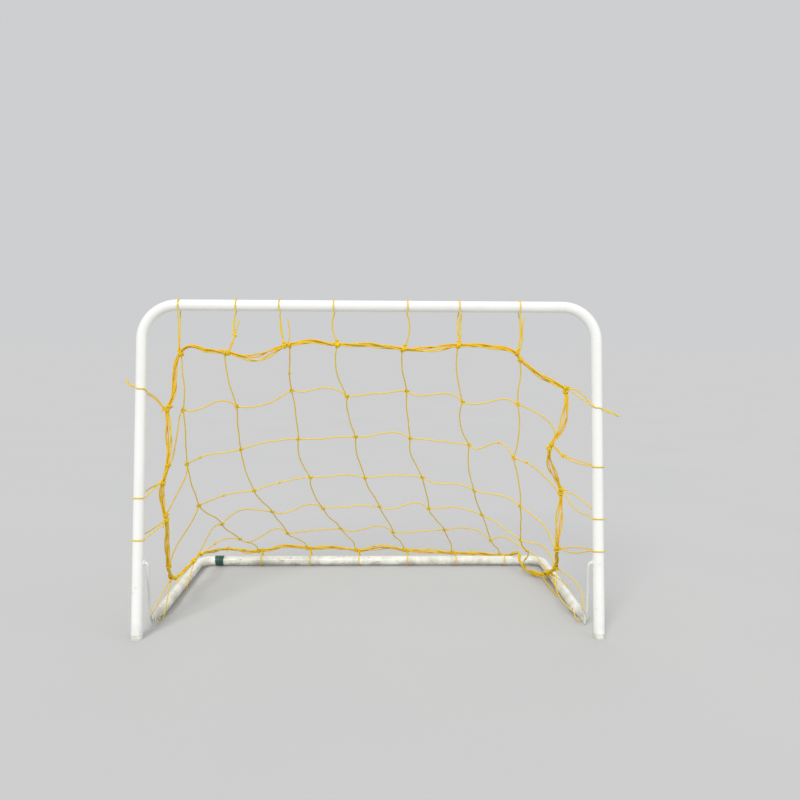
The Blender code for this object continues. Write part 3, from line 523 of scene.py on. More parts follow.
def make_ground_frame(material):
    """U-shaped ground frame, its two front ends pressed flat and drilled for the pins."""
    turns = ((-1, TAB_Y), (-1, REAR_Y), (1, REAR_Y), (1, TAB_Y))
    corners = [arr(side * SIDE_X, y, GROUND_Z) for side, y in turns]
    bends = rounded_path(corners, REAR_BEND_R, 20)[1:-1]
    flat = TAB_T / 2
    slit = flat * 0.25
    # An end from its slit to the round tube: how far back, half its width and half its height.
    stations = [(0.0040, slit, TUBE_R * 0.45), (0.0002, slit, TUBE_R * 0.50), (0.0, flat * 0.8, TUBE_R * 0.52)]
    for f in np.linspace(0.03, 1, 9):
        # The pressed end is rounded off like a coin.
        stations.append((0.0095 * f, flat, TUBE_R * (0.56 + 0.44 * math.sqrt(1 - (1 - f) ** 2))))
    for f in np.linspace(0, 1, 15):
        swell = f * f * (3 - 2 * f)
        stations.append((TAB_LENGTH + FLATTEN_LENGTH * f, flat + (TUBE_R - flat) * swell, TUBE_R))
    rows = [(arr(-SIDE_X, TAB_Y + back, GROUND_Z), t, h, ALONG) for back, t, h in stations]
    rows += [(point, TUBE_R, TUBE_R, way) for point, way in zip(bends, frames(bends)[0])]
    rows += [(arr(SIDE_X, TAB_Y + back, GROUND_Z), t, h, -ALONG) for back, t, h in stations[::-1]]
    rings = []
    for point, half_t, half_h, way in rows:
        rings.append(point + around(once_round(56, 0.5), arr(way[1], -way[0], 0) * half_t, UP * half_h))
    tube = solid("ground_tube", rings, material)
    for side in (-1, 1):
        inside, outside = (arr(side * (SIDE_X + out), PIN_Y, GROUND_Z) for out in (-TUBE_R, TUBE_R))
        drill(tube, inside, outside, ROD_R + HOLE_GAP)
    sharpen(tube)
    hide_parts("ground_frame")
    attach(tube, "ground_frame")


def make_rod(word, side, material):
    """Bent rod, welded into the post above, its lower leg riveted over as the hinge pin."""
    top = on_hoop(side * (POST_X - TUBE_R + TUBE_WALL + 0.0030), ROD_TOP)
    knee = on_hoop(side * (POST_X - ROD_OFFSET), ROD_TOP)
    heel = arr(side * ROD_BOTTOM_X, PIN_Y, GROUND_Z)
    head = SIDE_X - TAB_T / 2 - GAP - HOLE_GAP
    line = list(rounded_path([top, knee, heel], ROD_BEND_R, 14)[:-1])
    down = unit(heel - line[-1])
    inward = arr(-side, 0, 0)
    bend = ROD_R + GAP
    centre = heel - down * bend + inward * bend
    for f in np.linspace(0, 1, 9):
        turn = f * math.pi / 2
        line.append(centre - inward * bend * math.cos(turn) + down * bend * math.sin(turn))
    line.append(arr(side * head, PIN_Y, GROUND_Z))
    line = np.array(line)
    rings = circle_rings(line, ROD_R, 28, HOOP_UP)
    # The head of the pin, as it was hammered: how far along it and its share of the full radius.
    spokes = (rings[-1] - line[-1]) / ROD_R
    for f, share in ((0, 0.98), (0.12, 1.0), (0.45, 0.97), (0.75, 0.80), (0.93, 0.50), (1.0, 0.18)):
        middle = arr(side * (head - PIN_HEAD_T * f), PIN_Y, GROUND_Z)
        rings.append(middle + spokes * (PIN_HEAD_R * share))
    rod = sharpen(solid("%s_hinge_pin" % word, rings, material), 55)
    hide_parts("%s_hinge_rod" % word)
    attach(rod, "hoop")
    # Weld bead round the rod where it enters the post.
    a = np.linspace(0, 2 * math.pi, 72, endpoint=False)
    reach = ROD_R + 0.0007
    up = np.sin(a) * reach
    back = np.cos(a) * reach
    out = np.sqrt(TUBE_R**2 - back**2) + 0.0003
    centre = on_hoop(side * POST_X, ROD_TOP)
    ring = centre + inward * out[:, None] + HOOP_UP * up[:, None] + HOOP_BACK * back[:, None]
    radii = 0.0012 * (1 + 0.16 * np.sin(a * 11)) * (1 + 0.2 * np.sin(a * 2 + side))
    bead = solid("%s_rod_weld" % word, circle_rings(ring, radii, 14, HOOP_UP, closed=True), material, wrap=True)
    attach(bead, "hoop")


def make_plug(word, side, material):
    """Foot plug with a ribbed collar, its sole cut level."""
    # Height along the post and share of the tube's radius.
    profile = [(-0.006, 0.90), (0.0006, 0.93), (0.0014, 0.965)]
    for k in range(3):
        s = 0.0018 + k * 0.0014
        profile += [(s, 0.985), (s + 0.0005, 0.985), (s + 0.0007, 0.955), (s + 0.0012, 0.955)]
    bore = (TUBE_R - TUBE_WALL - GAP) / TUBE_R
    profile += [(FOOT_HEAD - 0.0003, 0.985), (FOOT_HEAD, 0.955), (FOOT_HEAD, bore), (FOOT_HEAD + 0.016, 0.82)]
    spokes = around(once_round(64), HOOP_BACK, ACROSS) * TUBE_R
    rings = [on_hoop(side * POST_X, s) + spokes * share for s, share in profile]
    plug = solid("%s_foot_cap" % word, rings, material)
    bm = bmesh.new()
    bm.from_mesh(plug.data)
    parts = bm.verts[:] + bm.edges[:] + bm.faces[:]
    level = bmesh.ops.bisect_plane(bm, geom=parts, plane_co=(0, 0, 0), plane_no=(0, 0, -1), clear_outer=True)
    rim = [e for e in level["geom_cut"] if isinstance(e, bmesh.types.BMEdge)]
    bmesh.ops.contextual_create(bm, geom=rim)
    bm.to_mesh(plug.data)
    bm.free()
    sharpen(plug, 30)
    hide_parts("%s_foot_plug" % word)
    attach(plug, "hoop")


def make_sleeve(material):
    """Heat-shrunk sleeve on the rear bar, slightly wrinkled, its ends thinned."""
    inner = TUBE_R + GAP
    a = once_round(64)

    def ring(f, radius):
        x = SLEEVE_INSET - SIDE_X + f * SLEEVE_WIDTH / 2 + 0.0007 * np.sin(a + 0.6) * f
        return np.stack([x, REAR_Y + radius * np.cos(a), GROUND_Z + radius * np.sin(a)], axis=1)

    rings = []
    for f in np.linspace(-1, 1, 40):
        edge = min((1 - abs(f)) * 8, 1.0)
        ripple = 0.00012 * np.sin(f * 19 + 1.3 * np.sin(a * 2)) + 0.00010 * np.sin(a * 5 + f * 6)
        rings.append(ring(f, inner + SLEEVE_WALL * (0.55 + 0.45 * math.sqrt(edge)) + ripple * edge))
    rings += [ring(f, inner) for f in (1, -1)]
    sleeve = sharpen(solid("rear_sleeve_skin", rings, material, wrap=True), 50)
    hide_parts("rear_bar_sleeve")
    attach(sleeve, "ground_frame")


# The border of the net

def border_stations():
    """Names, places and inward directions round the edge of the net, as the part has them."""
    stations = []
    down = unit(arr(0, 0.30, -1))
    for i, (_, share, lower) in enumerate(CROSSBAR_TIES):
        x = share * POST_X
        drop = TIE_DROP + lower
        stations.append(("T%d" % i, arr(x, BAR[1], BAR[2] - drop), down))
        if i < len(TOP_BOWS):
            after_x = CROSSBAR_TIES[i + 1][1] * POST_X
            after_drop = TIE_DROP + CROSSBAR_TIES[i + 1][2]
            height = BAR[2] - (drop + after_drop) / 2 + TOP_BOWS[i]
            stations.append(("", arr((x + after_x) / 2, BAR[1], height), down))
    right_in = unit(arr(-1, 0.25, 0))
    for i, (inset, back, height) in enumerate(RIGHT_EDGE):
        stations.append(("R%d" % (i + 1), arr(POST_X - inset * MESH, back * MESH, height * MESH), right_in))
    inner = SIDE_X - TUBE_R
    corner_in = (arr(-1, 0, 0.6), arr(-0.85, -0.2, 0.5), arr(-0.6, -0.5, 0.6))
    for name, (inset, front, height), way in zip("QCD", RIGHT_CORNER, corner_in):
        stations.append((name, arr(inner - inset * MESH, REAR_Y - front * MESH, height * MESH), unit(way)))
    cross_x = inner - CROSSING_INSET
    front = REAR_Y - TUBE_R - CORD_R - CROSSING_CLEAR * 3
    over = GROUND_Z + TUBE_R + CORD_R + CROSSING_CLEAR
    stations.append(("", arr(cross_x, front, (GROUND_Z + over) / 2), unit(arr(-0.4, -0.7, 0.5))))
    stations.append(("", arr(cross_x, REAR_Y, over), unit(arr(-0.2, -0.4, 0.9))))
    up = unit(arr(0, -0.35, 1))
    for i in reversed(range(REAR_TIES)):
        place = REAR_EDGE + arr(REAR_FIRST * POST_X + i * REAR_PITCH, 0, 0)
        stations.append(("B%d" % i, place, up))
        if i:
            stations.append(("", place + arr(-REAR_PITCH / 2, -GAP, REAR_BOWS[i % 2]), up))
    left_in = unit(arr(0.9, 0, 0.45))
    for name, (inset, front, height) in zip(("A", "M3", "M2", "M1"), LEFT_CORNER):
        place = arr(inset * MESH - inner, REAR_Y - front * MESH, height * MESH)
        stations.append((name, place, up if name == "A" else left_in))
    post_in = unit(arr(1, 0.25, 0))
    for i, (inset, back, height) in reversed(list(enumerate(LEFT_EDGE))):
        stations.append(("L%d" % (i + 1), arr(inset * MESH - POST_X, back * MESH, height * MESH), post_in))
    return stations


STATIONS = border_stations()
PLACES = np.array([s[1] for s in STATIONS])
INWARD = np.array([s[2] for s in STATIONS])
INDEX = {s[0]: i for i, s in enumerate(STATIONS) if s[0]}
MORE_BOW = [BORDER_BOWS.get(s[0], (0, 0, 0)) for s in STATIONS]
MORE_BOW = np.array([((x, 0, z), (wave, 0, 0)) for x, z, wave in MORE_BOW], float)
for (_name, _on), (_x, _z) in STATION_SHIFTS.items():
    PLACES[INDEX[_name] + _on] += (_x, 0, _z)


def spline_at(t):
    """Points of the closed smooth line through the stations, one unit of t for each."""
    t = np.atleast_1d(np.asarray(t, float))
    n = len(PLACES)
    i = np.floor(t).astype(int)
    f = (t - i)[:, None]
    a, b, c, d = (PLACES[(i + k) % n] for k in (-1, 0, 1, 2))
    m0 = (c - a) / 2
    m1 = (d - b) / 2
    f2 = f * f
    f3 = f2 * f
    line = b * (2 * f3 - 3 * f2 + 1) + m0 * (f3 - 2 * f2 + f) + c * (3 * f2 - 2 * f3) + m1 * (f3 - f2)
    more = MORE_BOW[i % n]
    return line + more[:, 0] * (4 * f * (1 - f)) + more[:, 1] * np.sin(2 * math.pi * f)


def border_frame(t):
    """Tangent, inward and third direction of the border at t."""
    t = np.atleast_1d(np.asarray(t, float))
    ahead = unit_rows(spline_at(t + 0.02) - spline_at(t - 0.02))
    n = len(INWARD)
    i = np.floor(t).astype(int)
    f = (t - i)[:, None]
    way = INWARD[i % n] * (1 - f) + INWARD[(i + 1) % n] * f
    way = unit_rows(way - ahead * np.sum(way * ahead, axis=1)[:, None])
    return ahead, way, np.cross(ahead, way)


FINE_T = np.linspace(0, len(PLACES), 6001)
FINE_RUN = path_length(spline_at(FINE_T))
BORDER_LENGTH = FINE_RUN[-1]
EDGE_STEP = CORD_R + BORDER_TWINE * 0.71 + 2 * GAP
BUNDLE_IN = EDGE_STEP / 2
TIE_AT_CORNER = 0.05  # the first tie comes straight down to the corner of the net


def run_of(t):
    return np.interp(t % len(PLACES), FINE_T, FINE_RUN)


def t_at_run(run):
    return np.interp(run % BORDER_LENGTH, FINE_RUN, FINE_T)


def middle_at(t):
    """Middle of the border's bundle of twines."""
    _, inward, _ = border_frame(t)
    return spline_at(t) + inward * BUNDLE_IN


def knot_t(name):
    """Where the edge knot of a station sits, a little past the tie beside it."""
    return float(t_at_run(run_of(INDEX[name]) + KNOT_SHIFTS.get(name, KNOT_SHIFT)))


L2_LOWER = 0.022  # the left post's second tie meets the border this far below its station
# Where each tie meets the border: at its station, but for three.
TIE_T = dict(INDEX, T0=INDEX["T0"] + TIE_AT_CORNER, LG=INDEX["L4"] - 0.5)
TIE_T["L2"] = float(t_at_run(run_of(INDEX["L2"]) - L2_LOWER))

# How far the border's two pairs part between one tie and the next, past the usual.
LOOSE = {
    "T0": 0.0008, "T1": 0.0034, "T2": 0.0006, "T3": 0.0012, "T4": 0.0022, "T5": 0.0008, "T6": 0.0018,
    "R1": 0.0024, "R2": 0.0026, "R3": 0.0032, "R4": 0.0005, "R5": 0.0016,
    "Q": 0.0034, "C": 0.0030, "D": 0.0020,
    "B5": 0.0010, "B4": 0.0016, "B3": 0.0032, "B2": 0.0014, "B1": 0.0010, "B0": 0.0022,
    "A": 0.0012, "M3": 0.0014, "M2": 0.0010, "M1": 0.0016,
    "L4": 0.0014, "L3": 0.0014, "L2": 0.0026, "L1": 0.0010,
}


def split_at(run):
    """Half the distance between the border's two pairs of twines."""
    places, extra = np.array(sorted((run_of(INDEX[name]), loose) for name, loose in LOOSE.items())).T
    run = run % BORDER_LENGTH
    i = np.searchsorted(places, run, side="right") - 1
    start = np.where(i < 0, places[-1] - BORDER_LENGTH, places[i])
    end = np.where(i < len(places) - 1, places[(i + 1) % len(places)], BORDER_LENGTH + places[0])
    u = np.clip((run - start) / (end - start), 0, 1)
    return BUNDLE_SPLIT + extra[i] * np.sin(math.pi * np.clip(u * 1.12 - 0.12, 0, 1)) ** 2


def border_strand(pair, twin):
    """One of the border's four twines: pair 0 is the cord, pair 1 the net's own edge."""
    run = np.linspace(0, BORDER_LENGTH, int(BORDER_LENGTH / 0.002), endpoint=False)
    t = t_at_run(run)
    _, inward, side = border_frame(t)
    part = split_at(run)
    phase = 2 * math.pi * run / BORDER_LENGTH
    lean = 0.4 * np.sin(phase * 9 + 1.1) + 0.3 * np.sin(phase * 23 + 0.4)
    sign = 1 if pair else -1
    apart = around(lean, inward, side) * (sign * part)[:, None]
    turn = phase * 29 + (math.pi if twin else 0) + pair * 1.3
    loose = (part - BUNDLE_SPLIT) * 0.28
    within = (BUNDLE_PAIR + loose)[:, None] * around(turn, inward, side)
    wander = 0.0005 * np.sin(phase * 67 + pair * 2 + twin)[:, None] * side
    return middle_at(t) + apart + within + wander


# The knotted net

def column_knots(top, bottom, sag, lateness):
    """A column hangs between two knots, with the knots of its rows evenly along it."""
    chord = bottom - top
    slope = unit(arr(0, chord[1], chord[2]))
    drop = arr(0, slope[2], -slope[1])
    drop = -drop if drop[2] > 0 else drop
    u = np.linspace(0, 1, 61)
    line = top + chord * np.stack([u**lateness, u, u], axis=1)
    line = line + drop * (4 * sag * u * (1 - u))[:, None]
    run = path_length(line)
    return points_at(run[-1] * np.arange(1, ROWS) / ROWS, run, line)


def bar_line(a, b, way_a, way_b, bows):
    """One bar of the net between two knots, leaving each along its own direction."""
    reach = np.linalg.norm(b - a) * 0.34
    p1 = a + way_a * reach + bows[0]
    p2 = b + way_b * reach + bows[1]
    f = np.linspace(0, 1, 40)[:, None]
    g = 1 - f
    line = a * g**3 + p1 * (3 * g * g * f) + p2 * (3 * g * f * f) + b * f**3
    # Twine that was wound on a shuttle keeps a slight wave.
    height = rng.uniform(0.0003, 0.0009, 2)
    phase = rng.uniform(0, 2 * math.pi, 2)
    aside, up = (h * np.sin(f * k + p) for h, k, p in zip(height, (11, 9), phase))
    return line + np.sin(math.pi * f) * (aside * arr(0.7, 0.7, 0) + up * UP)


def leave(axes, way):
    """The direction in which twine leaves a knot: between the knot's own axis and its goal."""
    best = max([s * a for a in axes for s in (-1, 1)], key=lambda d: d @ way)
    return unit(best * 0.55 + way * 0.6)


def lay_bar(weave, from_knot, to_knot, bows, key):
    """One bar between two knots, each a place with its axes, and the hitch on it if it has one."""
    (a, axes_a), (b, axes_b) = from_knot, to_knot
    way = unit(b - a)
    line = bar_line(a, b, leave(axes_a, way), leave(axes_b, -way), bows)
    weave.lay(line)
    if key in HITCHES:
        i = int(HITCHES[key] * (len(line) - 1))
        ahead = line[i + 1] - line[i]
        weave.knot(line[i], ahead, arr(0.2, -0.5, 0.8), reach=HITCH_REACH)


def gather(weave):
    """The bunched meshes at the right rear corner, wound loosely round the border."""
    f = np.linspace(0, 1, 70)
    t = INDEX["Q"] + 0.15 + f * (INDEX["D"] - INDEX["Q"] - 0.30)
    middle = middle_at(t)
    ahead, inward, side = border_frame(t)
    for k in range(GATHERED):
        phase = rng.uniform(0, 2 * math.pi, 4)
        out = BUNCH_R * (0.55 * np.sin(f * 9 + phase[0]) + 0.45 * np.sin(f * 21 + phase[1]))
        up = BUNCH_R * (0.55 * np.sin(f * 8 + phase[2]) + 0.45 * np.sin(f * 19 + phase[3]))
        line = middle + inward * out[:, None] + side * up[:, None]
        line[:, 2] = np.maximum(line[:, 2], STRAND_R + GAP)
        weave.lay(line, tone=0.85 + 0.15 * (k % 2))
    for share in (0.08, 0.30, 0.58, 0.86):
        i = int(share * (len(t) - 1))
        weave.coil(middle[i], ahead[i], BUNCH_R * 0.75, 2.2, STRAND_R * 2.1, tone=0.9)
        weave.knot(middle[i] + arr(0, 0, BUNCH_R * 0.6), ahead[i], inward[i], tone=0.95)
    # A loose end lies along the side tube.
    ends = [middle_at(INDEX["C"])[0], *LOOSE_END]
    weave.lay(soften(resample(ends, 0.006), 3), tone=0.6)


KNOT_STEP = CORD_R + KNOT / 2 + 3 * GAP


def knot_place(t):
    """Middle of an edge knot at t, with the border's own axes there."""
    ahead, inward, _ = (v[0] for v in border_frame(t))
    return spline_at(t)[0] + inward * (KNOT_STEP - KNOT_SUNK), ahead, inward


def make_net(material):
    weave = Weave()
    for twin in range(2):
        weave.lay(border_strand(1, twin), closed=True, tone=0.35 + 0.3 * twin)
    edge = {}
    hung_from = {}
    for name in INDEX:
        t = knot_t(name)
        place, ahead, inward = knot_place(t)
        edge[name] = (place, (ahead, inward, np.cross(ahead, inward)))
        # A column hangs as if its edge knot sat at the usual place.
        x, z = STATION_SHIFTS.get((name, 0), (0, 0))
        even_t = float(t_at_run(run_of(INDEX[name]) + KNOT_SHIFT))
        hung_from[name] = knot_place(even_t)[0] - arr(x, 0, z)
        weave.coil(
            middle_at(t)[0], ahead, BUNDLE_SPLIT + STRAND_R * 1.9, 1.6, STRAND_R * 2.1, start=rng.uniform(0, 6)
        )
        weave.knot(place, ahead, inward, tone=0.9)
    columns = len(CROSSBAR_TIES)
    ends = ["B%d" % c if c < REAR_TIES else "D" for c in range(columns)]
    inner = []
    for c in range(columns):
        places = column_knots(hung_from["T%d" % c], hung_from[ends[c]], *COLUMN_HANGS[c])
        inner.append(places + np.array([(x, 0, z) for x, z in KNOT_NUDGES[c]]))
    knots = []
    for c in range(columns):
        line = [edge["T%d" % c][0], *inner[c], edge[ends[c]][0]]
        made = []
        for r in range(1, ROWS):
            left = inner[max(c - 1, 0)][r - 1]
            right = inner[min(c + 1, columns - 1)][r - 1]
            u = unit(right - left)
            v = line[r + 1] - line[r - 1]
            v = unit(v - u * (v @ u))
            made.append((line[r], (u, v, np.cross(u, v))))
            weave.knot(line[r], u, v, reach=KNOT_REACH * INNER_KNOT, tone=0.9)
        knots.append(made)
    for c in range(columns):
        line = [edge["T%d" % c], *knots[c], edge[ends[c]]]
        for r in range(ROWS):
            sway = arr(COLUMN_BOWS.get((c, r), SWAY if (r + c) % 2 else -SWAY), 0, 0)
            lay_bar(weave, line[r], line[r + 1], (sway, sway), ("column", c, r))
    left_ends = ("L2", "L3", "L4", "M2", "M3")
    right_ends = ("R2", "R3", "R4", "R5", "Q")
    for r in range(1, ROWS):
        line = [edge[left_ends[r - 1]], *[knots[c][r - 1] for c in range(columns)], edge[right_ends[r - 1]]]
        for k in range(len(line) - 1):
            sides = SIDE_BOWS.get((r, k), (0, 0))
            bows = [arr(side, SWAY, lift) for side, lift in zip(sides, ROW_LIFTS[r - 1][k])]
            lay_bar(weave, line[k], line[k + 1], bows, ("row", r, k))
    gather(weave)
    net = weave.finish("net_twine", material)
    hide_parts("net")
    hang(net)


def make_border(material):
    weave = Weave(CORD_STRAND_R)
    for twin in range(2):
        weave.lay(border_strand(0, twin), closed=True, tone=0.6 + 0.3 * twin)
    border = weave.finish("border_twine", material)
    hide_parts("border_cord")
    hang(border)


# The net's span from the hoop above to the ground frame behind; the net itself is only baked in place.
LOWEST_EYE = min((PLACES[INDEX["T%d" % c]] for c in range(7)), key=lambda p: p[2])
NET_START = arr(0, LOWEST_EYE[1], LOWEST_EYE[2])
NET_END = arr(0, REAR_EDGE[1] - 0.006, REAR_EDGE[2] + 0.006)


def hang(piece):
    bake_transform(piece)


def net_share(place):
    """How much of the way from the hoop to the ground frame the net has gone at a place."""
    way = NET_END - NET_START
    return np.clip((place - NET_START) @ way / (way @ way), 0, 1)


# Ties

# Where a tie's knot stands off the border, from where it would lie at it.
STEMS = {"crossbar_tie_2": (0.011, 0, 0.024), "right_post_tie_2": (0.015, 0, -0.017)}
# Free ends that stand up, from the tie's knot.
SPURS = {
    "crossbar_tie_2": ((0, 0, 0), (0.003, -0.001, 0.012), (0.009, -0.003, 0.028)),
    "crossbar_tie_3": (
        (0.004, 0, -0.003), (0.011, -0.002, 0.008), (0.0095, -0.003, 0.024), (0.007, -0.003, 0.040),
    ),
    "crossbar_tie_6": ((0.001, 0, 0), (0.003, -0.002, 0.014), (0.002, -0.003, 0.030), (0.003, -0.003, 0.047)),
    "crossbar_tie_7": ((0.003, 0, 0), (0.007, -0.002, 0.018), (0.005, -0.003, 0.032), (0.009, -0.003, 0.056)),
}
# How far the two legs of a tie part along the post, half each way.
PARTED = {
    "right_post_tie_1": 0.005, "right_post_tie_2": 0.002,
    "right_post_tie_3": 0.007, "right_post_tie_4": 0.004,
}
# Sideways bows of a tie's two legs, to either side.
LEG_BOWS = {"right_front_ground_tie": (-0.013, 0, -0.005), "right_post_tie_3": (0, 0, 0.002)}
# How far the loose tip of a loop stands out past its post, and how much higher it is.
SLACK_TIPS = {"left_post_tie_1": (0.0155, 0.0150), "right_post_tie_1": (0.0255, -0.0140)}
SLACK_OPEN = 0.0035
SLACK_BOW = 0.004
# Bows of the crossbar ties along the bar, and which of them have their legs crossed.
CROSSBAR_BOWS = (0.0004, -0.003, -0.002, -0.006, 0.006, -0.002, 0.003)
CROSSED = (False, True, True, False, False, True, False)
WRAP = TUBE_R + TIE_R + 0.00012


def arc(middle, radius, offset, angles):
    """Points of a circle in the plane across the axis, with their offset along it."""
    flat = middle + radius * around(angles, arr(1, 0), arr(0, 1))
    return np.column_stack([flat, np.full(len(flat), offset)])


def crossing_leg(start, end, lift):
    """A straight leg, its middle lifted off the other leg where they cross."""
    f = np.arange(1, 15)[:, None] / 15
    leg = start * (1 - f) + end * f
    return leg + UP * lift * np.sin(math.pi * f)


def crossed_belt(circles):
    """A closed line round two circles in the shape of an 8: see belt."""
    (a, radius_a, _), (b, radius_b, _) = circles
    gap = b - a
    toward = math.atan2(gap[1], gap[0])
    half = math.acos((radius_a + radius_b) / np.linalg.norm(gap))
    first = arc(*circles[0], np.linspace(toward + half, toward - half + 2 * math.pi, 40))
    second = arc(*circles[1], np.linspace(toward - half + math.pi, toward + half - math.pi, 24))
    lift = STRAND_R * 1.15
    there = crossing_leg(first[-1], second[0], lift)
    back = crossing_leg(second[-1], first[0], -lift)
    return np.vstack([first, there, second, back])


def belt(circles):
    """A closed line round circles of one plane: each is middle, radius, offset along the axis."""
    spots = [tuple(spot) for circle in circles for spot in arc(*circle, once_round(72))]
    spots.sort(key=lambda s: (s[0], s[1]))

    def half(row):
        out = []
        for s in row:
            while len(out) > 1:
                a, b = out[-2], out[-1]
                if (b[0] - a[0]) * (s[1] - a[1]) - (b[1] - a[1]) * (s[0] - a[0]) > 1e-12:
                    break
                out.pop()
            out.append(s)
        return out[:-1]

    return np.array(half(spots) + half(spots[::-1]))


def make_tie(name, centre, axis, t_eye, material, crossed=False, tail=True, bow=0.0):
    """A loop of twine round a tube and the border, knotted at the border."""
    ref = ALONG if abs(axis[2]) > 0.9 else -UP
    e = unit(ref - axis * (ref @ axis))
    f = np.cross(axis, e)
    weave = Weave(TIE_R)
    eye = middle_at(t_eye)[0]
    ahead, inward, _ = (v[0] for v in border_frame(t_eye))

    def flat(place):
        offset = place - centre
        return arr(offset @ e, offset @ f), offset @ axis

    toward = unit(centre - eye)
    toward = unit(toward - ahead * (toward @ ahead) * 0.6)
    root = eye + toward * (BUNDLE_SPLIT + STRAND_R * 2 + KNOT_REACH * 0.5)
    root = root + arr(*STEMS.get(name, (0, 0, 0)))
    root_flat, root_z = flat(root)
    circles = [(arr(0, 0), WRAP, 0.0), (root_flat, TIE_R * 1.2, root_z)]
    tip_out, tip_up = SLACK_TIPS.get(name, (0, 0))
    if tip_out:
        away, _ = flat(centre + arr(math.copysign(1, centre[0]), 0, 0))
        circles.append((unit(away) * (TUBE_R + tip_out), TIE_R * 1.7, tip_up))
        bow = SLACK_BOW
    loop = crossed_belt(circles) if crossed else belt(circles)
    line = centre + loop[:, :1] * e + loop[:, 1:2] * f + loop[:, 2:] * axis
    line = resample(line, RING_STEP, closed=True)
    reach = np.linalg.norm(line - root, axis=1)
    span = np.linalg.norm(root - centre)
    # The legs give sideways a little, most in the middle of their way.
    free = np.clip(reach / max(span - WRAP, 0.004), 0, 1)
    give = bow if bow else min(span * 0.03, 0.0016) * rng.choice((-1, 1))
    beside = ((line - centre) @ e) * root_flat[1] - ((line - centre) @ f) * root_flat[0]
    beside = np.clip(3 * beside / (np.linalg.norm(root_flat) * WRAP), -1, 1)
    give = give + PARTED.get(name, 0.0) * beside
    if name in LEG_BOWS:
        line = line + (np.sin(math.pi * free) * beside)[:, None] * arr(*LEG_BOWS[name])
    if tip_out:
        # The loose loop past the post stands open a little.
        tip = np.clip((np.abs(line[:, 0]) - POST_X - TUBE_R) / tip_out, 0, 1)
        line = line + axis * (np.sin(math.pi * tip) * beside * SLACK_OPEN)[:, None]
    line = line + axis * (np.sin(math.pi * free) * give)[:, None]
    weave.lay(soften(line, 2, closed=True), closed=True)
    weave.coil(eye, ahead, BUNDLE_SPLIT + STRAND_R * 2.0, 2.3, TIE_R * 2.05, start=rng.uniform(0, 6))
    weave.knot(root, ahead, toward, reach=KNOT_REACH * TIE_KNOT)
    if name in STEMS:
        # Both legs go on from the knot to the border side by side.
        beside = unit(np.cross(root - eye, ALONG)) * TIE_R * 1.05
        for sign in (-1, 1):
            weave.lay(np.array([root, (root + eye) / 2 + beside * sign, eye + beside * sign]))
    if name in SPURS:
        weave.lay(soften(resample(root + np.array(SPURS[name]), 0.004), 3))
    if tail:
        out = unit(-ahead * rng.uniform(0.3, 1.0) - inward * rng.uniform(0.2, 0.9) + toward * 0.2)
        length = rng.uniform(0.006, 0.013)
        s = np.linspace(0, 1, 12)[:, None]
        weave.lay(root + out * (length * s) - UP * (length * 0.45 * s * s))
    piece = weave.finish(name + "_twine", material)
    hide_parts(name)
    return piece, eye


def blend_post_tie(piece, eye):
    """A post tie whose eye sits at the hoop's end of the net goes with the hoop; any other is baked in place.
    """
    share = net_share(eye)
    if share <= 0.02:
        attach(piece, "hoop")
        return
    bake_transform(piece)


def blend_ground_tie(piece):
    """A ground tie is baked in place."""
    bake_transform(piece)


def make_ties(material):
    for i, (share, _, _) in enumerate(CROSSBAR_TIES):
        centre = on_hoop(share * POST_X, BAR_S)
        name = "crossbar_tie_%d" % (i + 1)
        look = {"crossed": CROSSED[i], "tail": i % 2, "bow": CROSSBAR_BOWS[i]}
        piece, _ = make_tie(name, centre, ACROSS, TIE_T["T%d" % i], material, **look)
        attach(piece, "hoop")
    for word, heights, side in (("left", LEFT_POST_TIES, -1), ("right", RIGHT_POST_TIES, 1)):
        for i, s in enumerate(heights):
            centre = on_hoop(side * POST_X, s)
            name = "%s_post_tie_%d" % (word, i + 1)
            eye_t = TIE_T["%s%d" % (word[0].upper(), i + 1)]
            piece, eye = make_tie(name, centre, HOOP_UP, eye_t, material)
            blend_post_tie(piece, eye)
    for i in range(REAR_TIES):
        centre = arr(REAR_FIRST * POST_X + i * REAR_PITCH, REAR_Y, GROUND_Z)
        name = "rear_tie_%d" % (i + 1)
        piece, _ = make_tie(name, centre, ACROSS, TIE_T["B%d" % i], material)
        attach(piece, "ground_frame")
    for word, side, y, key in (
        ("left_front", -1, LEFT_SIDE_TIE_Y, "LG"),
        ("left_mid", -1, LEFT_MID_TIE_Y, "M2"),
        ("right_front", 1, RIGHT_SIDE_TIE_Y, "R5"),
        ("right_mid", 1, RIGHT_MID_TIE_Y, "Q"),
    ):
        centre = arr(side * SIDE_X, y, GROUND_Z)
        name = "%s_ground_tie" % word
        piece, eye = make_tie(name, centre, ALONG, TIE_T[key], material)
        blend_ground_tie(piece)


# Materials

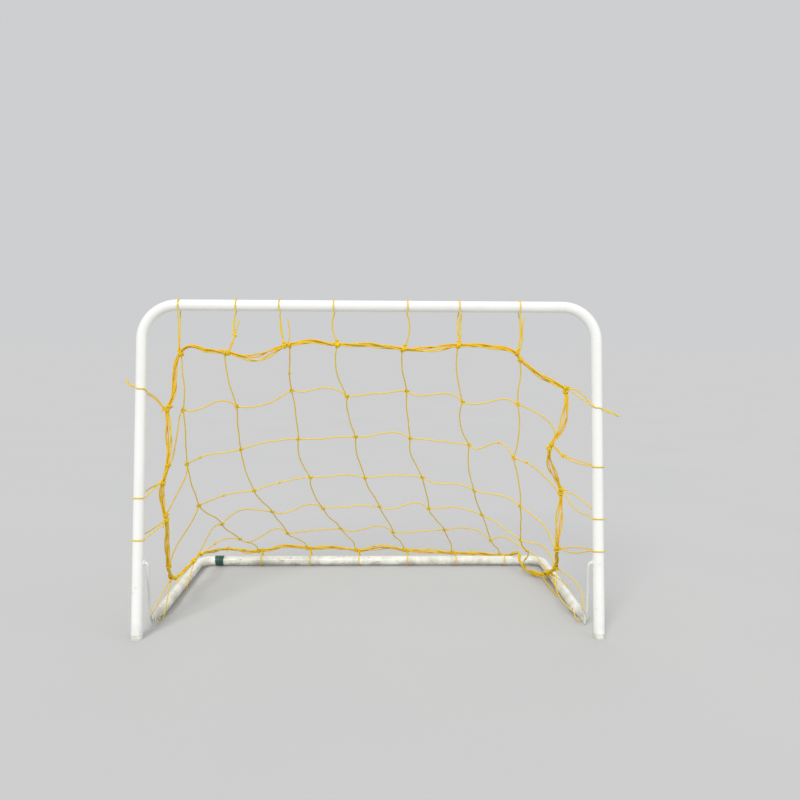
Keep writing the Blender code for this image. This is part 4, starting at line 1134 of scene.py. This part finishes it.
class Nodes:
    """Short calls for building one node material."""

    def __init__(self, name):
        self.material = bpy.data.materials.new(name)
        self.material.use_nodes = True
        self.tree = self.material.node_tree
        self.shader = self.tree.nodes["Principled BSDF"]
        self.where = self.add("ShaderNodeTexCoord").outputs["Object"]

    def add(self, kind, **values):
        node = self.tree.nodes.new(kind)
        for key, value in values.items():
            if hasattr(node, key):
                setattr(node, key, value)
            else:
                self.feed(node.inputs[key.replace("_", " ")], value)
        return node

    def link(self, out, into):
        self.tree.links.new(out, into)

    def feed(self, socket, value):
        """Gives a socket a number, a colour or what comes out of another node."""
        if isinstance(value, bpy.types.NodeSocket):
            self.link(value, socket)
        elif isinstance(value, tuple) and socket.type == "RGBA":
            socket.default_value = (*value, 1)
        else:
            socket.default_value = value

    def cover(self, colour, roughness):
        self.feed(self.shader.inputs["Base Color"], colour)
        self.feed(self.shader.inputs["Roughness"], roughness)

    def noise(self, where, scale, detail=3.0, roughness=0.5):
        node = self.add("ShaderNodeTexNoise", Vector=where, Scale=scale, Detail=detail, Roughness=roughness)
        return node.outputs["Fac"]

    def scaled(self, where, scale):
        return self.add("ShaderNodeMapping", Vector=where, Scale=scale).outputs["Vector"]

    def ramp(self, value, low, high, to_low=0.0, to_high=1.0):
        ends = {"From_Min": low, "From_Max": high, "To_Min": to_low, "To_Max": to_high}
        return self.add("ShaderNodeMapRange", Value=value, **ends).outputs["Result"]

    def math(self, operation, a, b):
        node = self.add("ShaderNodeMath", operation=operation)
        for socket, value in zip(node.inputs, (a, b)):
            self.feed(socket, value)
        return node.outputs[0]

    def times(self, a, b):
        return self.math("MULTIPLY", a, b)

    def plus(self, a, b):
        return self.math("ADD", a, b)

    def mix(self, amount, a, b):
        node = self.add("ShaderNodeMix", data_type="RGBA")
        # These three are the sockets of a mix of colours.
        for k, value in ((0, amount), (6, a), (7, b)):
            self.feed(node.inputs[k], value)
        return node.outputs[2]

    def bump(self, height, strength, distance):
        node = self.add("ShaderNodeBump", Strength=strength, Distance=distance, Height=height)
        self.link(node.outputs["Normal"], self.shader.inputs["Normal"])


def enamel(name, colour, soil):
    """Baked enamel with a faint orange peel, scuffs and soil towards the ground."""
    n = Nodes(name)
    split = n.add("ShaderNodeSeparateXYZ")
    n.link(n.where, split.inputs[0])
    height = split.outputs["Z"]
    cloudy = n.ramp(n.noise(n.where, 9, 4), 0.35, 0.7)
    base = n.mix(cloudy, colour, tuple(c * f for c, f in zip(colour, (0.945, 0.95, 0.935))))
    # Grey rub marks, drawn out along X, stronger low down.
    low = n.ramp(height, 0.16, 0.01)
    rubbed = n.noise(n.scaled(n.where, (14, 60, 60)), 3.2, 6, 0.62)
    rubs = n.times(n.ramp(rubbed, 0.60, 0.70), n.plus(n.times(low, soil), 0.10))
    base = n.mix(rubs, base, (0.36, 0.37, 0.28))
    # Chips down to the primer.
    fine = n.ramp(n.noise(n.where, 210, 2), 0.735, 0.755)
    grouped = n.ramp(n.noise(n.where, 17, 2), 0.48, 0.6)
    chips = n.times(fine, n.times(grouped, n.plus(low, 0.12)))
    base = n.mix(chips, base, (0.12, 0.10, 0.075))
    # Soil close to the ground.
    patches = n.ramp(n.noise(n.where, 38, 5, 0.6), 0.38, 0.66)
    earth = n.times(n.ramp(height, 0.030, 0.0, 0.0, soil * 0.75), patches)
    base = n.mix(earth, base, (0.16, 0.125, 0.06))
    n.cover(base, n.plus(n.ramp(cloudy, 0, 1, 0.24, 0.31), n.times(n.plus(rubs, earth), 0.35)))
    n.shader.inputs["Coat Weight"].default_value = 0.25
    n.shader.inputs["Coat Roughness"].default_value = 0.12
    n.bump(n.math("SUBTRACT", n.noise(n.where, 420, 2), n.times(chips, 0.8)), 0.10, 0.0004)
    return n.material


def plug_plastic():
    n = Nodes("plug_plastic")
    stain = n.ramp(n.noise(n.where, 60, 5, 0.6), 0.42, 0.72)
    n.cover(n.mix(stain, (0.80, 0.81, 0.77), (0.47, 0.44, 0.33)), n.ramp(stain, 0, 1, 0.42, 0.62))
    n.bump(n.noise(n.where, 900, 3), 0.25, 0.0002)
    return n.material


def sleeve_plastic():
    n = Nodes("sleeve_plastic")
    worn = n.ramp(n.noise(n.scaled(n.where, (30, 90, 90)), 4, 5, 0.6), 0.40, 0.72)
    n.cover(n.mix(worn, (0.012, 0.074, 0.058), (0.040, 0.118, 0.098)), n.ramp(worn, 0, 1, 0.34, 0.52))
    n.bump(n.noise(n.where, 1400, 3), 0.20, 0.0002)
    return n.material


def twine(name, light, deep, groove_painted_shade):
    """Twisted polyethylene twine: fine fibres along the strands, their lighter streaks partly painted
    highlight, and painted shade between the strands.
    """
    n = Nodes(name)
    uv = n.add("ShaderNodeUVMap", uv_map="lay").outputs["UV"]
    groove, tone = (n.add("ShaderNodeAttribute", attribute_name=a).outputs["Fac"] for a in ("groove", "tone"))
    fibres = n.noise(n.scaled(uv, (26, 150, 1)), 1.0, 3, 0.6)
    patchy = n.ramp(n.noise(n.where, 22, 3), 0.35, 0.68)
    base = n.mix(n.plus(n.times(patchy, 0.45), n.times(tone, 0.55)), light, deep)
    # Lighter streaks along the fibres: fibre grain, partly painted highlight.
    base = n.mix(n.ramp(fibres, 0.42, 0.72, 0.0, 0.40), base, tuple(min(c * 1.10 + 0.015, 1) for c in light))
    # Painted shade: the grooves between the strands are darkened in the colour, where shade would fall.
    shade = n.times(n.math("POWER", groove, 1.6), groove_painted_shade)
    n.cover(n.mix(shade, base, tuple(c * 0.42 for c in deep)), n.ramp(fibres, 0.3, 0.8, 0.40, 0.58))
    n.shader.inputs["Specular IOR Level"].default_value = 0.42
    n.bump(n.math("SUBTRACT", fibres, n.times(groove, 0.5)), 0.55, 0.00035)
    return n.material


# Floor, light and camera

def make_stage():
    """A floor that runs to the horizon in the colour of the sky above it, and soft light."""
    bm = bmesh.new()
    bmesh.ops.create_grid(bm, x_segments=2, y_segments=2, size=FLOOR_HALF)
    mesh = bpy.data.meshes.new("floor")
    bm.to_mesh(mesh)
    bm.free()
    floor = put("floor", mesh)
    floor.location = (0, 0, -0.0002)
    n = Nodes("pale_floor")
    n.cover(n.mix(n.noise(n.where, 2.5, 3), (0.552, 0.561, 0.562), (0.580, 0.580, 0.577)), 0.9)
    n.shader.inputs["Specular IOR Level"].default_value = 0.0
    mesh.materials.append(n.material)
    world = bpy.data.worlds.new("studio")
    world.use_nodes = True
    back = world.node_tree.nodes["Background"]
    back.inputs["Color"].default_value = (0.98, 0.99, 1.0, 1)
    back.inputs["Strength"].default_value = 0.63
    bpy.context.scene.world = world
    # Soft suns: the place each shines from, its width in degrees, strength and colour.
    for name, place, width, strength, colour in (
        ("key", (-0.9, -2.6, 2.2), 20, 1.75, (1.0, 0.985, 0.95)),
        ("fill", (2.4, -1.6, 1.2), 60, 0.45, (0.97, 0.98, 1.0)),
        ("back", (0.6, 2.6, 2.0), 60, 0.40, (1.0, 1.0, 1.0)),
    ):
        lamp = bpy.data.lights.new(name, "SUN")
        lamp.angle = math.radians(width)
        lamp.energy = strength
        lamp.color = colour
        thing = put(name, lamp)
        thing.location = place
        thing.rotation_euler = (-thing.location).to_track_quat("-Z", "Y").to_euler()
    bpy.context.scene.view_settings.view_transform = "Standard"


def make_camera():
    data = bpy.data.cameras.new("photo_camera")
    data.sensor_width = SENSOR_MM
    data.lens = FOCAL_PX / IMAGE_PX * SENSOR_MM
    camera = put("photo_camera", data)
    turns = ((YAW, "Z"), (math.pi / 2 + PITCH, "X"), (ROLL, "Z"))
    yaw, pitch, roll = (Matrix.Rotation(angle, 4, axis) for angle, axis in turns)
    camera.matrix_world = Matrix.Translation(EYE) @ yaw @ pitch @ roll
    bpy.context.scene.camera = camera


make_camera()
white = enamel("hoop_enamel", (0.885, 0.89, 0.875), 0.55)
ground_white = enamel("ground_enamel", (0.88, 0.88, 0.815), 1.0)
rod_white = enamel("rod_enamel", (0.79, 0.805, 0.765), 0.45)
net_yellow = twine("net_yellow", (0.98, 0.73, 0.020), (0.97, 0.60, 0.007), 0.32)
cord_yellow = twine("cord_yellow", (0.98, 0.67, 0.012), (0.97, 0.53, 0.004), 0.36)
make_hoop(white)
make_ground_frame(ground_white)
for _word, _side in (("left", -1), ("right", 1)):
    make_rod(_word, _side, rod_white)
    make_plug(_word, _side, plug_plastic())
make_sleeve(sleeve_plastic())
make_border(cord_yellow)
make_net(net_yellow)
make_ties(net_yellow)
make_stage()
